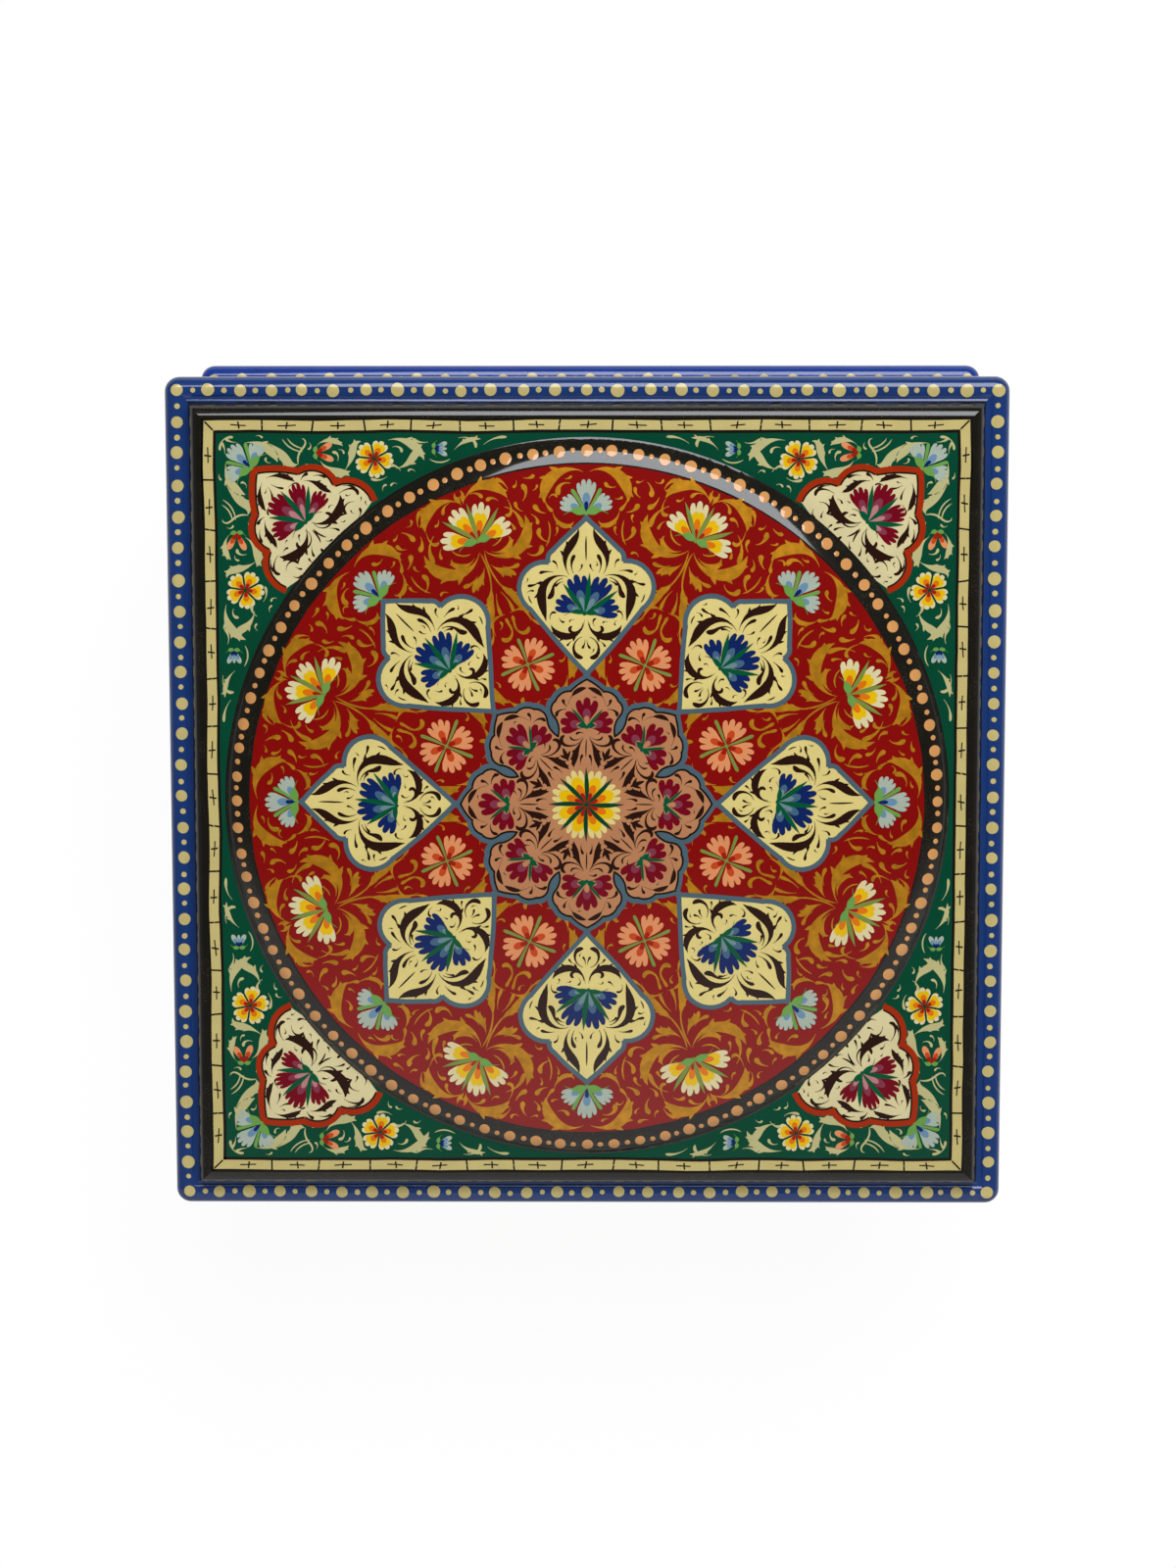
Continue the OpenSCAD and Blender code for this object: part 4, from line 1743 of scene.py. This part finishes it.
@dataclass(frozen=True)
class Walls:
    """The four walls between the plinth and the lid. Millimetres.

    Attributes:
        face: distance of the outer faces from the middle of the box.
        low: height of the plinth's top.
        high: height of the lid's underside.
        margin: black margin round the border.
        columns: u of the three cartouches.
        foot: v of the cartouches' lower tips.
        tip: v of the flowers on their upper tips.
        inner: u of the two whole yellow carnations on either side.
        outer: u of the two smaller ones at the ends.
        crosses: u of the salmon crosses on either side.
        cross_rows: v of their lower and upper row.
    """

    face: float
    low: float
    high: float
    margin: float = 1.2
    columns: tuple[float, ...] = (-55, 0, 55)
    foot: float = -21.5
    tip: float = 16.8
    inner: float = 27.5
    outer: float = 79
    crosses: tuple[float, ...] = (-40, -15, 15, 40, -70, 70)
    cross_rows: Point = (-21.5, 22.5)

    def paint(self, motifs: Motifs, half_u: float, half_v: float) -> Canvas:
        """Paints one wall, with ornament of the same kind as the lid's.

        Args:
            motifs: the shared motifs.
            half_u: half width of the border.
            half_v: half height of the border.

        Returns:
            Its canvas.
        """
        canvas = Border(half_u, half_v).draw()
        canvas.stamp(motifs.cartouche, [at(u, self.foot) for u in self.columns])
        level = 4.0
        canvas.stamp(motifs.heart, [at(u, level) for u in (-self.inner, self.inner)])
        canvas.stamp(motifs.heart, [at(u, level) @ Matrix.Scale(0.7, 4) for u in (-self.outer, self.outer)])
        canvas.stamp(TIP_FLOWER.draw(), [at(u, self.tip) for u in self.columns])
        crosses = [at(u, v) @ Matrix.Scale(0.72, 4) for u in self.crosses for v in self.cross_rows]
        canvas.stamp(SALMON_CROSS.draw(), crosses)
        cartouche, frame = CARTOUCHE.whole(), 4

        def free(point: Vector) -> bool:
            """Whether a point lies on the red field and outside the cartouches."""
            field = abs(point.x) < half_u - frame and abs(point.y) < half_v - frame
            near = min(self.columns, key=lambda u: abs(point.x - u))
            return field and not inside(point - Vector((near, self.foot)), cartouche)

        curls = Curls("walls", (-half_u, half_u), (-half_v, half_v), 5000, 3.8, 1.35, Paint.GOLD, Layer.SCROLL)
        curls.fill(canvas, free)
        return canvas

    def dress(self, motifs: Motifs) -> None:
        """Gives the walls a red field in a black margin, and their ornament.

        Args:
            motifs: the shared motifs.
        """
        middle, half_v = (self.low + self.high) / 2, (self.high - self.low) / 2 - self.margin
        half_u = self.face - self.margin
        # The paints meet under the cream border
        under = 2
        finish = WallPaint(
            "walls_paint",
            RED_GROUND,
            half=(half_u - under) * MM,
            low=(middle - half_v + under) * MM,
            high=(middle + half_v - under) * MM,
            drift=0.14,
            patch=0.02,
        )
        drawn = self.paint(motifs, half_u, half_v)
        for side, name in enumerate(SIDES):
            put_on(f"wall_{name}", finish)
            turn = Matrix.Rotation(math.radians(90 * side), 3, "Z")

            def surface(u: float, v: float, lift: float, turn: Matrix = turn) -> Vector:
                """Place on the wall's outer face."""
                return turn @ Vector((u, -self.face - lift, middle + v)) * MM

            canvas = Canvas()
            canvas.stamp(drawn, [Matrix()])
            Ground(f"wall_{name}", "box", "wall_lacquer", surface).drape(canvas)


def put_on(node: str, finish: Lacquer) -> None:
    """Gives a CAD node its finish.

    Args:
        node: the node's name.
        finish: what it is painted with.
    """
    data = bpy.data.objects[node].data
    data.materials.clear()
    data.materials.append(finish.material())
    log.info("finished %s", node)


# ----------------------------------------------------------------------------------------------- scene


WHITE = (1, 1, 1, 1)
DARK = (0, 0, 0, 1)


@dataclass(frozen=True)
class Studio:
    """Camera, floor and light. Lengths in metres, angles in degrees.

    Attributes:
        target: the point of the box that the camera and the lamp face.
        distance: of the camera from it.
        tilt: how far the camera looks from behind the box's upright axis.
        yaw: how far it looks from the side.
        roll: its turn about its own axis.
        shift: how far the target lies from the middle of the picture, to the right and up.
        lens: the camera's focal length in millimetres.
        frame: height of its picture in millimetres.
        lamp_way: direction of the soft box from the target.
        lamp_distance: its distance.
        lamp_size: its width and height.
        lamp_power: its power in watts.
        lamp_colour: its colour.
    """

    target: Vector
    distance: float = 0.9555
    tilt: float = 7.91
    yaw: float = -0.58
    roll: float = 0.05
    shift: Point = (-0.0002, -0.0026)
    lens: float = 89.93
    frame: float = 36.0
    lamp_way: Bulged = (0.163, 0.608, 0.777)
    lamp_distance: float = 2.0
    lamp_size: Point = (1.24, 1.3)
    lamp_power: float = 38.0
    lamp_colour: Rgb = (246, 250, 255)

    def camera(self) -> None:
        """Sets the camera at the photograph's viewing angle."""
        turn = (
            Matrix.Rotation(math.radians(self.roll), 3, "Z")
            @ Matrix.Rotation(math.radians(self.tilt), 3, "X")
            @ Matrix.Rotation(math.radians(self.yaw), 3, "Y")
        )
        back = turn.transposed()
        data = bpy.data.cameras.new("camera")
        data.sensor_fit = "VERTICAL"
        data.sensor_height = self.frame
        data.lens = self.lens
        camera = bpy.data.objects.new("camera", data)
        place = self.target + back @ Vector((-self.shift[0], -self.shift[1], self.distance))
        camera.matrix_world = Matrix.Translation(place) @ back.to_4x4()
        bpy.context.scene.collection.objects.link(camera)
        bpy.context.scene.camera = camera

    def lamp(self) -> None:
        """Adds a soft box that faces the lid."""
        data = bpy.data.lights.new("softbox", "AREA")
        data.shape = "RECTANGLE"
        data.size, data.size_y = self.lamp_size
        data.energy = self.lamp_power
        data.color = linear(self.lamp_colour)[:3]
        lamp = bpy.data.objects.new("softbox", data)
        way = Vector(self.lamp_way).normalized()
        facing = way.to_track_quat("Z", "Y").to_matrix().to_4x4()
        lamp.matrix_world = Matrix.Translation(self.target + self.lamp_distance * way) @ facing
        lamp.visible_camera = False
        bpy.context.scene.collection.objects.link(lamp)

    def sky(self) -> None:
        """Surrounds the box with dark above, a pale floor's light in front and pale walls."""
        world = bpy.data.worlds.new("studio")
        world.use_nodes = True
        graph = Graph(world.node_tree)
        way = graph.node("SeparateXYZ", {}, {"Vector": graph.node("TexCoord", {}, {}).outputs["Generated"]})
        back, up = Value(graph, way.outputs["Y"]), Value(graph, way.outputs["Z"])
        front_light, wall_light, least_light = 0.62, 0.1, 0.03
        front = graph.smooth(back, -0.16, -0.42) * front_light
        walls = graph.smooth(up, 0.8, 0.2) * (wall_light - back * wall_light)
        glow = graph.math("MAXIMUM", front, walls) + least_light
        seen = graph.node("LightPath", {}, {}).outputs["Is Camera Ray"]
        colour = graph.mix(seen, graph.mix(glow, DARK, WHITE), WHITE)
        shader = graph.node("Background", {}, {"Color": colour, "Strength": 1.0})
        graph.node("OutputWorld", {}, {"Surface": shader.outputs[0]})
        bpy.context.scene.world = world

    def floor(self) -> None:
        """Lays a white floor that keeps a faint shadow."""
        mesh = bmesh.new()
        reach = 6
        bmesh.ops.create_grid(mesh, x_segments=1, y_segments=1, size=reach)
        data = bpy.data.meshes.new("floor")
        mesh.to_mesh(data)
        mesh.free()
        made = bpy.data.materials.new("floor")
        made.use_nodes = True
        graph = Graph(made.node_tree)
        matt = graph.node("BsdfDiffuse", {}, {"Color": (0.8, 0.8, 0.8, 1)})
        white = graph.node("Emission", {}, {"Color": WHITE, "Strength": 1.05})
        seen = Value(graph, graph.node("LightPath", {}, {}).outputs["Is Camera Ray"])
        # The rest is the matt floor, whose shadow shows faintly through the white
        whiteness = 0.9
        mix = graph.node("MixShader", {}, {0: seen * whiteness, 1: matt.outputs[0], 2: white.outputs[0]})
        graph.node("OutputMaterial", {}, {"Surface": mix.outputs[0]})
        data.materials.append(made)
        floor = bpy.data.objects.new("floor", data)
        bpy.context.scene.collection.objects.link(floor)

    def build(self) -> None:
        """Builds the studio."""
        self.camera()
        self.sky()
        self.floor()
        self.lamp()
        bpy.context.scene.view_settings.view_transform = "Standard"


def main() -> None:
    """Builds the box's looks round the frame, piece by piece."""
    logging.basicConfig(level=logging.INFO, format="%(message)s")
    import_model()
    rail_low, rail_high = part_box("lid_rail_front")
    plinth_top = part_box("plinth_front")[1].z / MM
    half = -rail_low.y / MM
    motifs = Motifs()
    for name, body, part, top, blue, inset in (
        ("flange", "lid", "lid_rail", rail_high.z / MM, (30, 60, 120), 3.1),
        ("plinth", "box", "plinth", plinth_top, (34, 64, 150), 3.4),
    ):
        nodes = tuple(f"{part}_{side}" for side in SIDES)
        Moulding(name, body, nodes, top - MOULDING_STEP, half, blue, dot_inset=inset).dress()
    Panel(half, rail_high.z / MM).dress()
    Medallion(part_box("lid_medallion")[1].z / MM).dress(motifs)
    Walls(-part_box("wall_front")[0].y / MM, plinth_top, rail_low.z / MM).dress(motifs)
    for side in SIDES:
        put_on(f"liner_{side}", Lacquer("liner_paint", (128, 22, 14), roughness=0.28, patch=0.02))
    put_on("floor_board", Lacquer("underside_paint", (34, 31, 27), roughness=0.5, drift=0.3, patch=0.03))
    for lining in ("floor_lining", "lid_lining"):
        put_on(lining, Velvet("velvet_" + lining, (104, 16, 34), ripple=0.0002))
    Studio(Vector((0, 0, (rail_low.z + rail_high.z - MOULDING_STEP * MM) / 2))).build()


if __name__ == "__main__":
    main()
